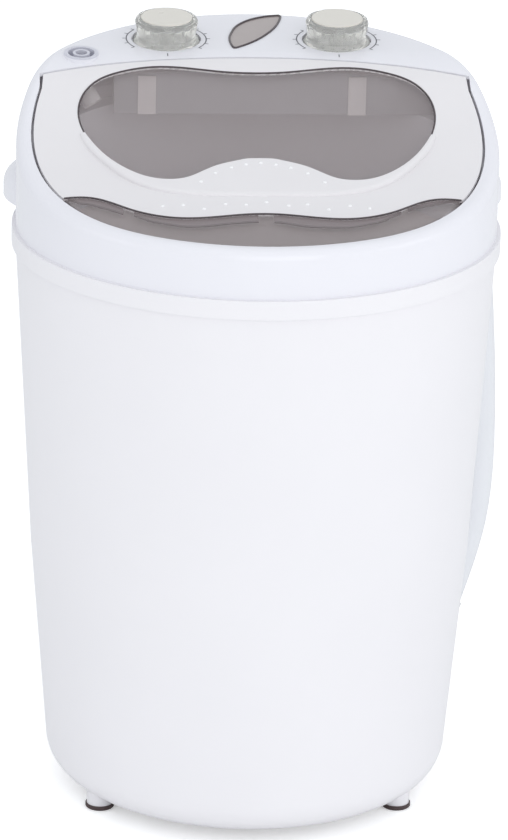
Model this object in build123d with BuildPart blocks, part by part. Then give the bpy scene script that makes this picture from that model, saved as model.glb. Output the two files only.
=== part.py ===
from build123d import *
import os
from math import asin, atan2, cos, degrees, radians, sin, sqrt, tan

os.makedirs("parts", exist_ok=True)

# Driving dimensions, in millimetres. The front faces -Y and the floor is at z = 0.

# Casing
collar_radius = 180.0
seam_z = 446.0
band_radius = 183.0
band_height = 14.0
casing_base_z = 10.0
casing_edge_radius = 28.0
casing_low_radius = 154.0
casing_knee_radius = 166.8
casing_knee_z = 194.0
casing_wall = 2.2
shelf_z = 434.0
shelf_inner_radius = 172.5
shelf_thickness = 2.5
service_radius = 100.0
foot_circle = 131.0
foot_radius = 10.0
pad_height = 3.5

# Wash tub
tub_wall = 2.5
tub_base_z = 150.0
tub_floor_z = 153.0
tub_low_radius = 148.5
tub_high_radius = 165.5
tub_corner_radius = 22.0
tub_flange_radius = 178.7

# Sloped top, seen from the side: level front, hollow rise, round crest, level deck
rise_start_y = -150.0
rise_start_z = 483.5
front_angle = 1.2
rise_radius = 420.0
rise_angle = 28.6
crest_radius = 117.5
deck_angle = 5.0
shoulder_radius = 8.0

# Lid recess and mouth of the top frame
skin = 2.8
frame_wall = 3.5
recess_radius = 169.0
recess_depth = 9.0
seat_thickness = 2.5
mouth_radius = 158.0
drip_lip_z = 428.0
rear_seam_y = 83.0
seam_gap = 0.5
rear_seam_radius = 600.0
lid_gap = 2.0
relief_setback = 4.0
relief_x = 162.0
lid_corner_x = 160.0
lid_corner_y = 75.0
lid_side_x = 162.8
lid_side_y = 42.0
hinge_y = 52.0
hinge_drop = 7.5
pin_hole_x = 160.0
pin_end_x = 168.5
pin_radius = 2.5
running = 0.05
bay_wall = 3.0
rear_bay_y = 34.0
rear_bay_z = 504.0
rear_bay_radius = 173.5
tray_front_y = 93.0

# Side grips
grip_reach = 200.6
grip_radius = 63.4
grip_angle = 24.0
grip_low_z = 452.0
grip_high_z = 474.6
grip_edge_radius = 14.0
grip_wall = 3.2
grip_hollow = 13.0
grip_root = 1.5

# Lid
cover_thickness = 2.4
pane_top = 2.5
pane_thickness = 2.5
skirt_depth = 7.5
skirt_wall = 2.5
pane_overlap = 1.0
strip_drop = 0.5
ridge_rise = 4.2
ridge_edge_radius = 3.0

# Control deck
knob_x = 65.0
knob_y = 118.5
dish_radius = 26.5
dish_depth = 3.0
shaft_radius = 3.0
timer_side = 44.0
timer_height = 26.0
lens_depth = 2.0
lens_x = 3.0
lens_y = 134.0
inlet_x = -130.3
inlet_y = 85.6
inlet_angle = 7.0
inlet_radius = 11.6
inlet_stand = 0.9

# Drive
shaft_r = 5.0
pulsator_radius = 93.0
pulsator_z = 161.0
plate_z = 141.0
plate_thickness = 2.5
motor_y = 82.0
motor_radius = 48.0
motor_low_z = 62.0
motor_high_z = 134.0
belt_z = 48.0
belt_width = 6.0
belt_thickness = 4.0
driven_radius = 53.0
motor_pulley_radius = 10.0

# Drain
drain_angle = 29.0
outlet_r = 112.0
outlet_z = 84.0
hose_radius = 14.0
hose_bore = 11.0

span = 260.0


def polar(radius, angle):
    """Point in plan at this distance and angle from the axis."""
    return radius * cos(radians(angle)), radius * sin(radians(angle))


# Heights along the sloped top, worked out from its arcs
steep_angle = front_angle + rise_angle
crest_start_y = rise_start_y + rise_radius * (sin(radians(steep_angle)) - sin(radians(front_angle)))
crest_start_z = rise_start_z + rise_radius * (cos(radians(front_angle)) - cos(radians(steep_angle)))
deck_start_y = crest_start_y + crest_radius * (sin(radians(steep_angle)) - sin(radians(deck_angle)))
deck_start_z = crest_start_z + crest_radius * (cos(radians(deck_angle)) - cos(radians(steep_angle)))


def top_height(y):
    """Height of the sloped top over a point at this depth."""
    if y < rise_start_y:
        return rise_start_z + (y - rise_start_y) * tan(radians(front_angle))
    if y < crest_start_y:
        lean = sin(radians(front_angle)) + (y - rise_start_y) / rise_radius
        return rise_start_z + rise_radius * (cos(radians(front_angle)) - sqrt(1 - lean**2))
    if y < deck_start_y:
        lean = sin(radians(steep_angle)) - (y - crest_start_y) / crest_radius
        return crest_start_z + crest_radius * (sqrt(1 - lean**2) - cos(radians(steep_angle)))
    return deck_start_z + (y - deck_start_y) * tan(radians(deck_angle))


def deck_plane(x, y, depth=0.0):
    """Plane lying on the control deck at a point, or this far inside it."""
    tilt = radians(deck_angle)
    surface = Plane(origin=(x, y, top_height(y)), x_dir=(1, 0, 0), z_dir=(0, -sin(tilt), cos(tilt)))
    return surface.offset(-depth)


def side_view(upper_depth, lower_depth=None):
    """Side view of the region under the sloped top, from one depth down to another or to the floor."""
    lean = radians(front_angle)
    run = span + rise_start_y

    def start(depth):
        return (
            rise_start_y + depth * sin(lean),
            rise_start_z - depth * cos(lean),
        )

    def draw(depth):
        corner = start(depth)
        first = Line((corner[0] - run * cos(lean), corner[1] - run * sin(lean)), corner)
        rise = JernArc(first @ 1, first % 1, rise_radius + depth, rise_angle)
        crest = JernArc(rise @ 1, rise % 1, crest_radius - depth, deck_angle - steep_angle)
        last = Line(crest @ 1, crest @ 1 + (crest % 1) * run)
        return first @ 0, last @ 1

    with BuildSketch(Plane.YZ) as view:
        with BuildLine():
            front, rear = draw(upper_depth)
            if lower_depth is None:
                Polyline(front, (front.X, 0), (rear.X, 0), rear)
            else:
                low_front, low_rear = draw(lower_depth)
                Line(front, low_front)
                Line(rear, low_rear)
        make_face()
    return view.sketch


def lid_outline(inset=0.0):
    """Plan of the lid recess, or of a line inset from it, with squared rear corners and a shallow rear arc."""
    corner_points = ((lid_side_x, 0), (lid_side_x, lid_side_y), (lid_corner_x, lid_corner_y))
    with BuildSketch() as plan:
        Circle(recess_radius - inset)
        with BuildLine():
            Polyline(
                *[(x - inset, y) for x, y in corner_points],
                *[(inset - x, y) for x, y in reversed(corner_points)],
                close=True,
            )
        make_face()
        with Locations((0, rear_seam_y + seam_gap - rear_seam_radius)):
            Circle(rear_seam_radius - inset, mode=Mode.INTERSECT)
    return plan.sketch


def corner_relief():
    """Plan of the recess's squared rear corners, which the lid's shoulders pass through as it opens."""
    with BuildSketch() as plan:
        Rectangle(2 * relief_x, 3 * rear_seam_y)
        with Locations((0, rear_seam_y + seam_gap - rear_seam_radius)):
            Circle(rear_seam_radius, mode=Mode.INTERSECT)
        with Locations((0, rear_bay_y + relief_setback + span)):
            Rectangle(2 * span, 2 * span, mode=Mode.INTERSECT)
    return plan.sketch


def half_plane(y, rearwards=True):
    """Plan of everything behind a line, or in front of it."""
    with BuildSketch() as plan:
        with Locations((0, y + span if rearwards else y - span)):
            Rectangle(2 * span, 2 * span)
    return plan.sketch


def mirrored_outline(points, start_tangent, end_tangent):
    """Face bounded by a smooth curve through these points and by its mirror image in x = 0."""
    with BuildSketch() as plan:
        with BuildLine():
            Spline(*points, tangents=(start_tangent, end_tangent))
            mirror(about=Plane.YZ)
        make_face()
    return plan.sketch


window_points = (
    (0, 63.6), (26, 65), (50, 68.6), (75, 70), (99, 64.8), (119.5, 54.5),
    (130.5, 41), (134.2, 23), (127.5, -4), (115.2, -27.6), (99, -46), (82, -56.5),
    (67, -58.9), (55, -56.3), (45, -49.8), (30, -39.8), (15, -34), (0, -32),
)
crescent_points = ((0, -102.5), (33, -107.5), (60, -110.5), (98, -96), (129, -78), (147, -80))
wave_end_slope = -0.35


def window_outline():
    """Plan of the kidney-shaped window."""
    return mirrored_outline(window_points, (1, 0), (-1, 0))


def crescent_outline():
    """Plan of the strip in front of the cover's wavy edge, wider than the lid."""
    with BuildSketch() as plan:
        with BuildLine():
            wave = Spline(*crescent_points, tangents=((1, 0), (1, wave_end_slope)))
            Polyline(wave @ 1, (span, crescent_points[-1][1]), (span, -span), (0, -span))
            mirror(about=Plane.YZ)
        make_face()
    return plan.sketch


leaf_front = (-17.3, -37)
leaf_rear = (22.6, 36.5)
leaf_shoulder = (-18.2, -0.5)
leaf_left = (-20.6, -18)
leaf_back = (-4.2, 25)
leaf_right = (10.6, -4.4)
leaf_tip_radius = 1.2


def leaf_outline(inset=0.0):
    """Plan of the leaf-shaped lens on the deck plane through its middle."""
    with BuildSketch() as plan:
        with BuildLine():
            ThreePointArc(leaf_front, leaf_left, leaf_shoulder)
            ThreePointArc(leaf_shoulder, leaf_back, leaf_rear)
            ThreePointArc(leaf_rear, leaf_right, leaf_front)
        make_face()
        tips = plan.vertices().sort_by(Axis.Y)
        fillet([tips[0], tips[-1]], leaf_tip_radius)
        if inset:
            offset(amount=-inset, mode=Mode.REPLACE)
    return plan.sketch


# Sizes of the self-tapping screws, their holes and heads
tapping_radius = 1.8
fine_radius = 1.6
head_radius = 3.8
screw_head_height = 2.0

# Outer casing: one tapered tub with a rim band, a rounded bottom edge and three foot bosses
band_z = seam_z - band_height
low_edge_z = casing_base_z + casing_edge_radius
bottom_radius = casing_low_radius - casing_edge_radius
inner_edge_radius = casing_edge_radius - casing_wall
band_wall = 4.0
shelf_brace = 8.0
foot_count = 3
foot_bearing = 90.0
foot_boss_height = 7.0
pad_stem_radius = 3.2
pad_stem_height = 8.0
stem_hole_depth = 9.0
cover_boss_radius = 4.5
cover_boss_height = 12.0
cover_screw_count = 6
cover_screw_radius = 1.9
cover_screw_depth = 10.0
outlet_hole_radius = 12.2
gland_angle = 118.0
gland_z = 66.0
gland_bore = 3.6
gland_neck_radius = 7.0
loom_angle = 104.0
loom_radius = 3.0
loom_hole_radius = 4.0
loom_hole_drop = 12.0
loom_hole_depth = 14.0
loom_r = 170.2
screw_angles = (40.0, 90.0, 140.0)
band_screw_drop = 5.5
band_screw_z = seam_z - band_screw_drop
screw_seat_radius = 180.9
screw_seat_half = 3.4
screw_seat_cut = 10.0
cover_screw_circle = 107.0

with BuildPart() as outer_casing:
    with BuildSketch(Plane.XZ):
        with BuildLine():
            Polyline((service_radius, casing_base_z + casing_wall), (service_radius, casing_base_z),
                     (bottom_radius, casing_base_z))
            RadiusArc((bottom_radius, casing_base_z), (casing_low_radius, low_edge_z), -casing_edge_radius)
            Polyline(
                (casing_low_radius, low_edge_z),
                (casing_knee_radius, casing_knee_z),
                (collar_radius, band_z),
                (band_radius, band_z),
                (band_radius, seam_z),
                (band_radius - band_wall, seam_z),
                (band_radius - band_wall, shelf_z),
                (shelf_inner_radius, shelf_z),
                (shelf_inner_radius, shelf_z - shelf_thickness),
                (collar_radius - casing_wall, band_z - shelf_brace),
                (casing_knee_radius - casing_wall, casing_knee_z),
                (casing_low_radius - casing_wall, low_edge_z),
            )
            RadiusArc((casing_low_radius - casing_wall, low_edge_z),
                      (bottom_radius, casing_base_z + casing_wall), inner_edge_radius)
            Line((bottom_radius, casing_base_z + casing_wall), (service_radius, casing_base_z + casing_wall))
        make_face()
    revolve(axis=Axis.Z)
    with BuildSketch(Plane.XY.offset(pad_height)):
        with PolarLocations(foot_circle, foot_count, foot_bearing):
            Circle(foot_radius)
    extrude(amount=casing_base_z + foot_boss_height - pad_height)
    with BuildSketch(Plane.XY.offset(pad_height)):
        with PolarLocations(foot_circle, foot_count, foot_bearing):
            Circle(pad_stem_radius)
    extrude(amount=stem_hole_depth, mode=Mode.SUBTRACT)
    with BuildSketch(Plane.XY.offset(casing_base_z)):
        with PolarLocations(cover_screw_circle, cover_screw_count):
            Circle(cover_boss_radius)
    extrude(amount=cover_boss_height)
    with BuildSketch(Plane.XY.offset(casing_base_z)):
        with PolarLocations(cover_screw_circle, cover_screw_count):
            Circle(cover_screw_radius)
    extrude(amount=cover_screw_depth, mode=Mode.SUBTRACT)
    with BuildSketch(Plane(origin=(0, 0, outlet_z), z_dir=(*polar(1, drain_angle), 0))):
        Circle(outlet_hole_radius)
    extrude(amount=span, mode=Mode.SUBTRACT)
    with BuildSketch(Plane(origin=(0, 0, gland_z), z_dir=(*polar(1, gland_angle), 0))):
        Circle(gland_neck_radius)
    extrude(amount=span, mode=Mode.SUBTRACT)
    with BuildSketch(Plane.XY.offset(shelf_z - loom_hole_drop)):
        with Locations(polar(loom_r, loom_angle)):
            Circle(loom_hole_radius)
    extrude(amount=loom_hole_depth, mode=Mode.SUBTRACT)
    for angle in screw_angles:
        with BuildSketch(Plane(origin=(0, 0, band_screw_z), z_dir=(*polar(1, angle), 0))):
            Circle(tapping_radius)
        extrude(amount=span, mode=Mode.SUBTRACT)
        with BuildSketch(Plane(origin=(*polar(screw_seat_radius, angle), band_screw_z), z_dir=(*polar(1, angle), 0))):
            Circle(screw_seat_half)
        extrude(amount=screw_seat_cut, mode=Mode.SUBTRACT)
outer_casing.part.label = "outer_casing"
export_step(outer_casing.part, "parts/outer_casing.step")


# Cover that closes the casing's base, vented, with the cover screws' holes
cover_radius = 112.0
cover_thickness_z = 2.5
cover_hole_radius = 2.2
cover_lip_gap = 1.0
cover_lip_wall = 2.0
cover_lip_height = 6.0
vent_rings = (36.0, 56.0, 76.0)
vent_count = 10
vent_length = 16.0
vent_width = 5.0
with BuildPart() as base_cover:
    with BuildSketch(Plane.XY.offset(casing_base_z - cover_thickness_z)):
        Circle(cover_radius)
        with PolarLocations(cover_screw_circle, cover_screw_count):
            Circle(cover_hole_radius, mode=Mode.SUBTRACT)
        for ring in vent_rings:
            with PolarLocations(ring, vent_count):
                SlotOverall(vent_length, vent_width, rotation=90, mode=Mode.SUBTRACT)
    extrude(amount=cover_thickness_z)
    with BuildSketch(Plane.XY.offset(casing_base_z)):
        Circle(service_radius - cover_lip_gap)
        Circle(service_radius - cover_lip_gap - cover_lip_wall, mode=Mode.SUBTRACT)
    extrude(amount=cover_lip_height)
base_cover.part.label = "base_cover"
export_step(base_cover.part, "parts/base_cover.step")

cover_screw_head_radius = 3.6
cover_screw_length = 11.0
with BuildPart() as base_screws:
    with BuildSketch(Plane.XY.offset(casing_base_z - cover_thickness_z - screw_head_height)):
        with PolarLocations(cover_screw_circle, cover_screw_count):
            Circle(cover_screw_head_radius)
    extrude(amount=screw_head_height)
    with BuildSketch(Plane.XY.offset(casing_base_z - cover_thickness_z)):
        with PolarLocations(cover_screw_circle, cover_screw_count):
            Circle(cover_screw_radius)
    extrude(amount=cover_screw_length)
base_screws.part.label = "base_screws"
export_step(base_screws.part, "parts/base_screws.step")

# Rubber foot pads, each with a stem pressed up into its boss
pad_overhang = 1.0
pad_chamfer = 0.8
with BuildPart() as foot_pads:
    with BuildSketch(Plane.XY):
        with PolarLocations(foot_circle, foot_count, foot_bearing):
            Circle(foot_radius + pad_overhang)
    extrude(amount=pad_height)
    chamfer(foot_pads.edges().group_by(Axis.Z)[0], pad_chamfer)
    with BuildSketch(Plane.XY.offset(pad_height)):
        with PolarLocations(foot_circle, foot_count, foot_bearing):
            Circle(pad_stem_radius)
    extrude(amount=pad_stem_height)
foot_pads.part.label = "foot_pads"
export_step(foot_pads.part, "parts/foot_pads.step")

# Wash tub: tapered, flanged at the top, with a guard ring round the pulsator and a drain spigot
guard_gap = 3.0
guard_wall = 2.5
guard_rise = 3.0
flange_root = 3.0
corner_lift = 0.5
guard_radius = pulsator_radius + guard_gap
neck_radius = 15.0
outlet_x, outlet_y = polar(outlet_r, drain_angle)
spigot_radius = 12.0
spigot_bore = 9.5
spigot_low_z = 132.0
tub_boss_points = ((-58, -30), (58, -30), (-58, 118), (58, 118))
tub_boss_radius = 6.0
tub_boss_hole_depth = 7.0
with BuildPart() as wash_tub:
    tub_corner_z = tub_base_z + tub_corner_radius
    tub_flat = tub_low_radius - tub_corner_radius
    tub_inner_corner = tub_corner_radius - tub_wall
    with BuildSketch(Plane.XZ):
        with BuildLine():
            Polyline((neck_radius, tub_floor_z), (neck_radius, tub_base_z), (tub_flat, tub_base_z))
            RadiusArc((tub_flat, tub_base_z), (tub_low_radius, tub_corner_z), -tub_corner_radius)
            Polyline(
                (tub_low_radius, tub_corner_z),
                (tub_high_radius, shelf_z - flange_root),
                (tub_high_radius, shelf_z),
                (tub_flange_radius, shelf_z),
                (tub_flange_radius, shelf_z + tub_wall),
                (tub_high_radius - tub_wall, shelf_z + tub_wall),
                (tub_high_radius - tub_wall, shelf_z - flange_root),
                (tub_low_radius - tub_wall, tub_corner_z + corner_lift),
            )
            RadiusArc((tub_low_radius - tub_wall, tub_corner_z + corner_lift), (tub_flat, tub_floor_z), tub_inner_corner)
            Line((tub_flat, tub_floor_z), (neck_radius, tub_floor_z))
        make_face()
    revolve(axis=Axis.Z)
    with BuildSketch(Plane.XY.offset(tub_base_z)):
        Circle(guard_radius + guard_wall)
        Circle(guard_radius, mode=Mode.SUBTRACT)
    extrude(amount=pulsator_z + guard_rise - tub_base_z)
    with BuildSketch(Plane.XY.offset(plate_z + plate_thickness)):
        with Locations(*tub_boss_points):
            Circle(tub_boss_radius)
    extrude(amount=tub_floor_z - plate_z - plate_thickness)
    with BuildSketch(Plane.XY.offset(plate_z + plate_thickness)):
        with Locations(*tub_boss_points):
            Circle(tapping_radius)
    extrude(amount=tub_boss_hole_depth, mode=Mode.SUBTRACT)
    with BuildSketch(Plane.XY.offset(spigot_low_z)):
        with Locations((outlet_x, outlet_y)):
            Circle(spigot_radius)
    extrude(amount=tub_floor_z - spigot_low_z)
    with BuildSketch(Plane.XY.offset(spigot_low_z)):
        with Locations((outlet_x, outlet_y)):
            Circle(spigot_bore)
    extrude(amount=tub_floor_z - spigot_low_z, mode=Mode.SUBTRACT)
    with BuildSketch(Plane.XY.offset(shelf_z)):
        with Locations(polar(loom_r, loom_angle)):
            Circle(loom_hole_radius)
    extrude(amount=tub_wall, mode=Mode.SUBTRACT)
wash_tub.part.label = "wash_tub"
export_step(wash_tub.part, "parts/wash_tub.step")

# Grating over the tub's drain hole
grating_radius = 8.0
grating_rim = 2.5
grating_thickness = 2.0
grating_sleeve = 6.0
grating_wall = 1.2
slot_pitch = 3.0
slot_width = 1.6
with BuildPart() as drain_grating:
    with BuildSketch(Plane.XY.offset(tub_floor_z)):
        with Locations((outlet_x, outlet_y)):
            Circle(spigot_bore + grating_rim)
            for step in (-2, -1, 0, 1, 2):
                half = sqrt(grating_radius**2 - (slot_pitch * step) ** 2)
                with Locations((0, slot_pitch * step)):
                    SlotOverall(2 * half, slot_width, mode=Mode.SUBTRACT)
    extrude(amount=grating_thickness)
    with BuildSketch(Plane.XY.offset(tub_floor_z - grating_sleeve)):
        with Locations((outlet_x, outlet_y)):
            Circle(spigot_bore)
            Circle(spigot_bore - grating_wall, mode=Mode.SUBTRACT)
    extrude(amount=grating_sleeve)
drain_grating.part.label = "drain_grating"
export_step(drain_grating.part, "parts/drain_grating.step")

# Soft ring between the tub's flange and the top frame
gasket_height = 2.5
gasket_outer_radius = 166.4
gasket_inner_radius = 162.9
with BuildPart() as tub_gasket:
    with BuildSketch(Plane.XY.offset(shelf_z + tub_wall)):
        Circle(gasket_outer_radius)
        Circle(gasket_inner_radius, mode=Mode.SUBTRACT)
    extrude(amount=gasket_height)
tub_gasket.part.label = "tub_gasket"
export_step(tub_gasket.part, "parts/tub_gasket.step")

# Core of the top frame's hollow ring, kept clear of the rear bay
clamp_z = shelf_z + tub_wall + gasket_height
clamp_thickness = 2.5
inner_wall_radius = mouth_radius + seat_thickness
hollow_radius = collar_radius - frame_wall
with BuildPart() as front_hollow:
    with BuildSketch(Plane.XY.offset(clamp_z + clamp_thickness)):
        Circle(hollow_radius)
        Circle(inner_wall_radius, mode=Mode.SUBTRACT)
    extrude(amount=span)
    extrude(side_view(recess_depth + seat_thickness), amount=span, both=True, mode=Mode.INTERSECT)
    extrude(half_plane(rear_bay_y - bay_wall, rearwards=False), amount=3 * span, mode=Mode.INTERSECT)
with BuildPart() as rear_hollow:
    with BuildSketch(Plane.XY.offset(clamp_z + clamp_thickness)):
        Circle(hollow_radius)
        Circle(inner_wall_radius, mode=Mode.SUBTRACT)
    extrude(amount=rear_bay_z - seat_thickness - clamp_z - clamp_thickness)
    extrude(half_plane(rear_bay_y - bay_wall), amount=3 * span, mode=Mode.INTERSECT)

# Rear bay under the control deck, which the lid's rear edge swings into
with BuildPart() as rear_bay:
    with BuildSketch(Plane.XY.offset(rear_bay_z)):
        Circle(rear_bay_radius)
    extrude(amount=span)
    extrude(side_view(skin), amount=span, both=True, mode=Mode.INTERSECT)
    extrude(half_plane(rear_bay_y), amount=3 * span, mode=Mode.INTERSECT)

# Tub mouth, open all the way up under the deck's skin
with BuildPart() as mouth:
    with BuildSketch(Plane.XY.offset(drip_lip_z)):
        Circle(mouth_radius)
    extrude(amount=span)
    extrude(side_view(skin), amount=span, both=True, mode=Mode.INTERSECT)

# Recess that the lid lies in
with BuildPart() as recess:
    extrude(lid_outline(), amount=3 * span)
    extrude(corner_relief(), amount=3 * span)
    extrude(side_view(recess_depth), amount=span, both=True, mode=Mode.SUBTRACT)


def grip_outline(inset=0.0):
    """Plan of both side grips, each a shallow arc standing out of the collar."""
    centre = grip_reach - grip_radius
    with BuildSketch() as plan:
        with Locations(polar(centre, grip_angle), polar(centre, 180 - grip_angle)):
            Circle(grip_radius - inset)
    return plan.sketch


with BuildPart() as side_grips:
    extrude(grip_outline().moved(Location((0, 0, grip_low_z))), amount=grip_high_z - grip_low_z)
    fillet(side_grips.edges().group_by(Axis.Z)[-1], grip_edge_radius)
    with BuildSketch(Plane.XY.offset(grip_low_z)):
        add(grip_outline(grip_wall))
        Circle(collar_radius + grip_root, mode=Mode.SUBTRACT)
    extrude(amount=grip_hollow, mode=Mode.SUBTRACT)

# Top frame: collar, lid recess, control deck and side grips in one moulding
pin_z = top_height(hinge_y) - hinge_drop
boss_depth = 6.5
bush_hole_radius = 5.0
timer_screw_x = 12.0
screw_boss_r = 168.0
screw_boss_trim = 0.5
frame_screw_hole = 20.0
pin_end_gap = 0.7
dish_wall = 3.0
dish_lift = 1.0
dish_cut = 3.0
lens_boss_depth = 4.5
lens_boss_wall = 2.0
lens_boss_height = 3.5
lens_cut = 6.0
inlet_boss_wall = 1.6
inlet_boss_depth = 5.0
inlet_fit = 0.1
inlet_cut_rise = 4.0
inlet_cut_depth = 14.0
lens_plane = deck_plane(lens_x, lens_y)
inlet_plane = Plane(
    origin=(inlet_x, inlet_y, top_height(inlet_y) + inlet_stand),
    x_dir=(1, 0, 0),
    z_dir=(0, -sin(radians(inlet_angle)), cos(radians(inlet_angle))),
)
with BuildPart() as top_frame:
    with BuildSketch(Plane.XY.offset(seam_z)):
        Circle(collar_radius)
    extrude(amount=span)
    extrude(side_view(0.0), amount=span, both=True, mode=Mode.INTERSECT)
    top_edges = top_frame.edges().filter_by(GeomType.LINE, reverse=True)
    fillet(top_edges.filter_by(lambda edge: edge.center().Z > seam_z + 1), shoulder_radius)
    with BuildSketch(Plane.XY.offset(clamp_z)):
        Circle(tub_flange_radius)
    extrude(amount=seam_z - clamp_z)
    with BuildSketch(Plane.XY.offset(shelf_z + tub_wall)):
        Circle(tub_flange_radius)
        Circle(hollow_radius, mode=Mode.SUBTRACT)
    extrude(amount=gasket_height)
    with BuildSketch(Plane.XY.offset(drip_lip_z)):
        Circle(inner_wall_radius)
    extrude(amount=clamp_z - drip_lip_z)
    add(side_grips.part)
    add(recess.part, mode=Mode.SUBTRACT)
    add(front_hollow.part, mode=Mode.SUBTRACT)
    add(rear_hollow.part, mode=Mode.SUBTRACT)
    add(mouth.part, mode=Mode.SUBTRACT)
    add(rear_bay.part, mode=Mode.SUBTRACT)
    for angle in screw_angles:
        with BuildSketch(Plane(origin=(*polar(screw_boss_r, angle), band_screw_z), z_dir=(*polar(1, angle), 0))):
            Circle(screw_seat_half)
        extrude(amount=tub_flange_radius - screw_boss_r - screw_boss_trim)
        with BuildSketch(Plane(origin=(*polar(screw_boss_r - 1, angle), band_screw_z), z_dir=(*polar(1, angle), 0))):
            Circle(fine_radius)
        extrude(amount=frame_screw_hole, mode=Mode.SUBTRACT)
    for level in (clamp_z, rear_bay_z - seat_thickness):
        with BuildSketch(Plane.XY.offset(level)):
            with Locations(polar(loom_r, loom_angle)):
                Circle(loom_hole_radius)
        extrude(amount=seat_thickness, mode=Mode.SUBTRACT)
    for side in (-1, 1):
        with BuildSketch(Plane(origin=(side * pin_hole_x, hinge_y, pin_z), z_dir=(side, 0, 0))):
            Circle(pin_radius + running)
        extrude(amount=pin_end_x + pin_end_gap - pin_hole_x, mode=Mode.SUBTRACT)
    for x in (-knob_x, knob_x):
        with BuildSketch(deck_plane(x, knob_y, boss_depth)):
            Circle(dish_radius + dish_wall)
        extrude(amount=boss_depth - dish_lift)
        with BuildSketch(deck_plane(x, knob_y, dish_depth)):
            Circle(dish_radius)
        extrude(amount=dish_depth + dish_cut, mode=Mode.SUBTRACT)
        with BuildSketch(deck_plane(x, knob_y, boss_depth)):
            Circle(bush_hole_radius)
            with Locations((-timer_screw_x, 0), (timer_screw_x, 0)):
                Circle(fine_radius)
        extrude(amount=boss_depth, mode=Mode.SUBTRACT)
    with BuildSketch(lens_plane.offset(-lens_boss_depth)):
        add(leaf_outline(-lens_boss_wall))
    extrude(amount=lens_boss_height)
    with BuildSketch(lens_plane.offset(-lens_depth)):
        add(leaf_outline())
    extrude(amount=lens_cut, mode=Mode.SUBTRACT)
    with BuildSketch(inlet_plane):
        Circle(inlet_radius + inlet_boss_wall)
    extrude(amount=-inlet_boss_depth)
    with BuildSketch(inlet_plane.offset(inlet_cut_rise)):
        Circle(inlet_radius + inlet_fit)
    extrude(amount=-inlet_cut_depth, mode=Mode.SUBTRACT)
top_frame.part.label = "top_frame"
export_step(top_frame.part, "parts/top_frame.step")

# Screws through the casing's rim band into the top frame's skirt
frame_screw_head_radius = 3.2
frame_screw_length = 12.0
with BuildPart() as frame_screws:
    for angle in screw_angles:
        seat = Plane(origin=(*polar(screw_seat_radius, angle), band_screw_z), z_dir=(*polar(1, angle), 0))
        with BuildSketch(seat):
            Circle(frame_screw_head_radius)
        extrude(amount=screw_head_height)
        with BuildSketch(seat):
            Circle(fine_radius)
        extrude(amount=-frame_screw_length)
frame_screws.part.label = "frame_screws"
export_step(frame_screws.part, "parts/frame_screws.step")

# Tray that closes the control deck from below, with two posts on its front wall
tray_left_x = -105.0
tray_radius = 173.2
tray_wall = 2.5
post_x = 80.0
tray_top_z = 544.0
tray_gap = 0.2
tray_right_x = 140.0
tray_side_y = 134.0
post_width = 13.6
post_depth = 2.0
post_height = 30.0
with BuildPart() as control_tray:
    with BuildSketch(Plane.XY.offset(rear_bay_z)):
        Circle(tray_radius)
        with Locations((tray_left_x + span, tray_front_y + span)):
            Rectangle(2 * span, 2 * span, mode=Mode.INTERSECT)
    extrude(amount=span)
    extrude(side_view(skin + tray_gap), amount=span, both=True, mode=Mode.INTERSECT)
    with BuildSketch(Plane.XY.offset(rear_bay_z + tray_wall)):
        Circle(tray_radius - tray_wall)
        with Locations((tray_left_x + tray_wall + span, tray_front_y + tray_wall + span)):
            Rectangle(2 * span, 2 * span, mode=Mode.INTERSECT)
    extrude(amount=span, mode=Mode.SUBTRACT)
    with BuildSketch(Plane.XY.offset(rear_bay_z + tray_wall)):
        Circle(span)
    extrude(amount=span, mode=Mode.SUBTRACT)
    with BuildSketch(Plane.XY.offset(rear_bay_z + tray_wall)):
        with Locations(((tray_left_x + tray_right_x) / 2, tray_front_y + tray_wall / 2)):
            Rectangle(tray_right_x - tray_left_x, tray_wall)
        with Locations((tray_left_x + tray_wall / 2, (tray_front_y + tray_side_y) / 2)):
            Rectangle(tray_wall, tray_side_y - tray_front_y)
    extrude(amount=tray_top_z - rear_bay_z - tray_wall)
    with BuildSketch(Plane.XY.offset(rear_bay_z)):
        with Locations((-post_x, tray_front_y - post_depth / 2), (post_x, tray_front_y - post_depth / 2)):
            Rectangle(post_width, post_depth)
    extrude(amount=post_height)
    with BuildSketch(Plane.XY.offset(rear_bay_z)):
        with Locations(polar(loom_r, loom_angle)):
            Circle(loom_hole_radius)
    extrude(amount=tray_wall, mode=Mode.SUBTRACT)
control_tray.part.label = "control_tray"
export_step(control_tray.part, "parts/control_tray.step")

# Smoky lid base: a thin pane with a skirt, a raised window and front strip, and lugs with moulded hinge pins
lug_inner_x = 148.0
lug_outer_x = 159.5
lug_radius = 4.0
with BuildPart() as lid_base:
    extrude(lid_outline(lid_gap), amount=3 * span)
    extrude(side_view(pane_top, pane_top + pane_thickness), amount=span, both=True, mode=Mode.INTERSECT)
with BuildPart() as lid_skirt:
    extrude(lid_outline(lid_gap), amount=3 * span)
    extrude(lid_outline(lid_gap + skirt_wall), amount=3 * span, mode=Mode.SUBTRACT)
    extrude(side_view(pane_top + pane_overlap, skirt_depth), amount=span, both=True, mode=Mode.INTERSECT)
with BuildPart() as lid_strip:
    extrude(lid_outline(lid_gap), amount=3 * span)
    extrude(crescent_outline(), amount=3 * span, mode=Mode.INTERSECT)
    extrude(side_view(strip_drop, pane_top + pane_overlap), amount=span, both=True, mode=Mode.INTERSECT)
with BuildPart() as lid_window:
    extrude(window_outline(), amount=3 * span)
    extrude(side_view(strip_drop, pane_top + pane_overlap), amount=span, both=True, mode=Mode.INTERSECT)
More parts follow.
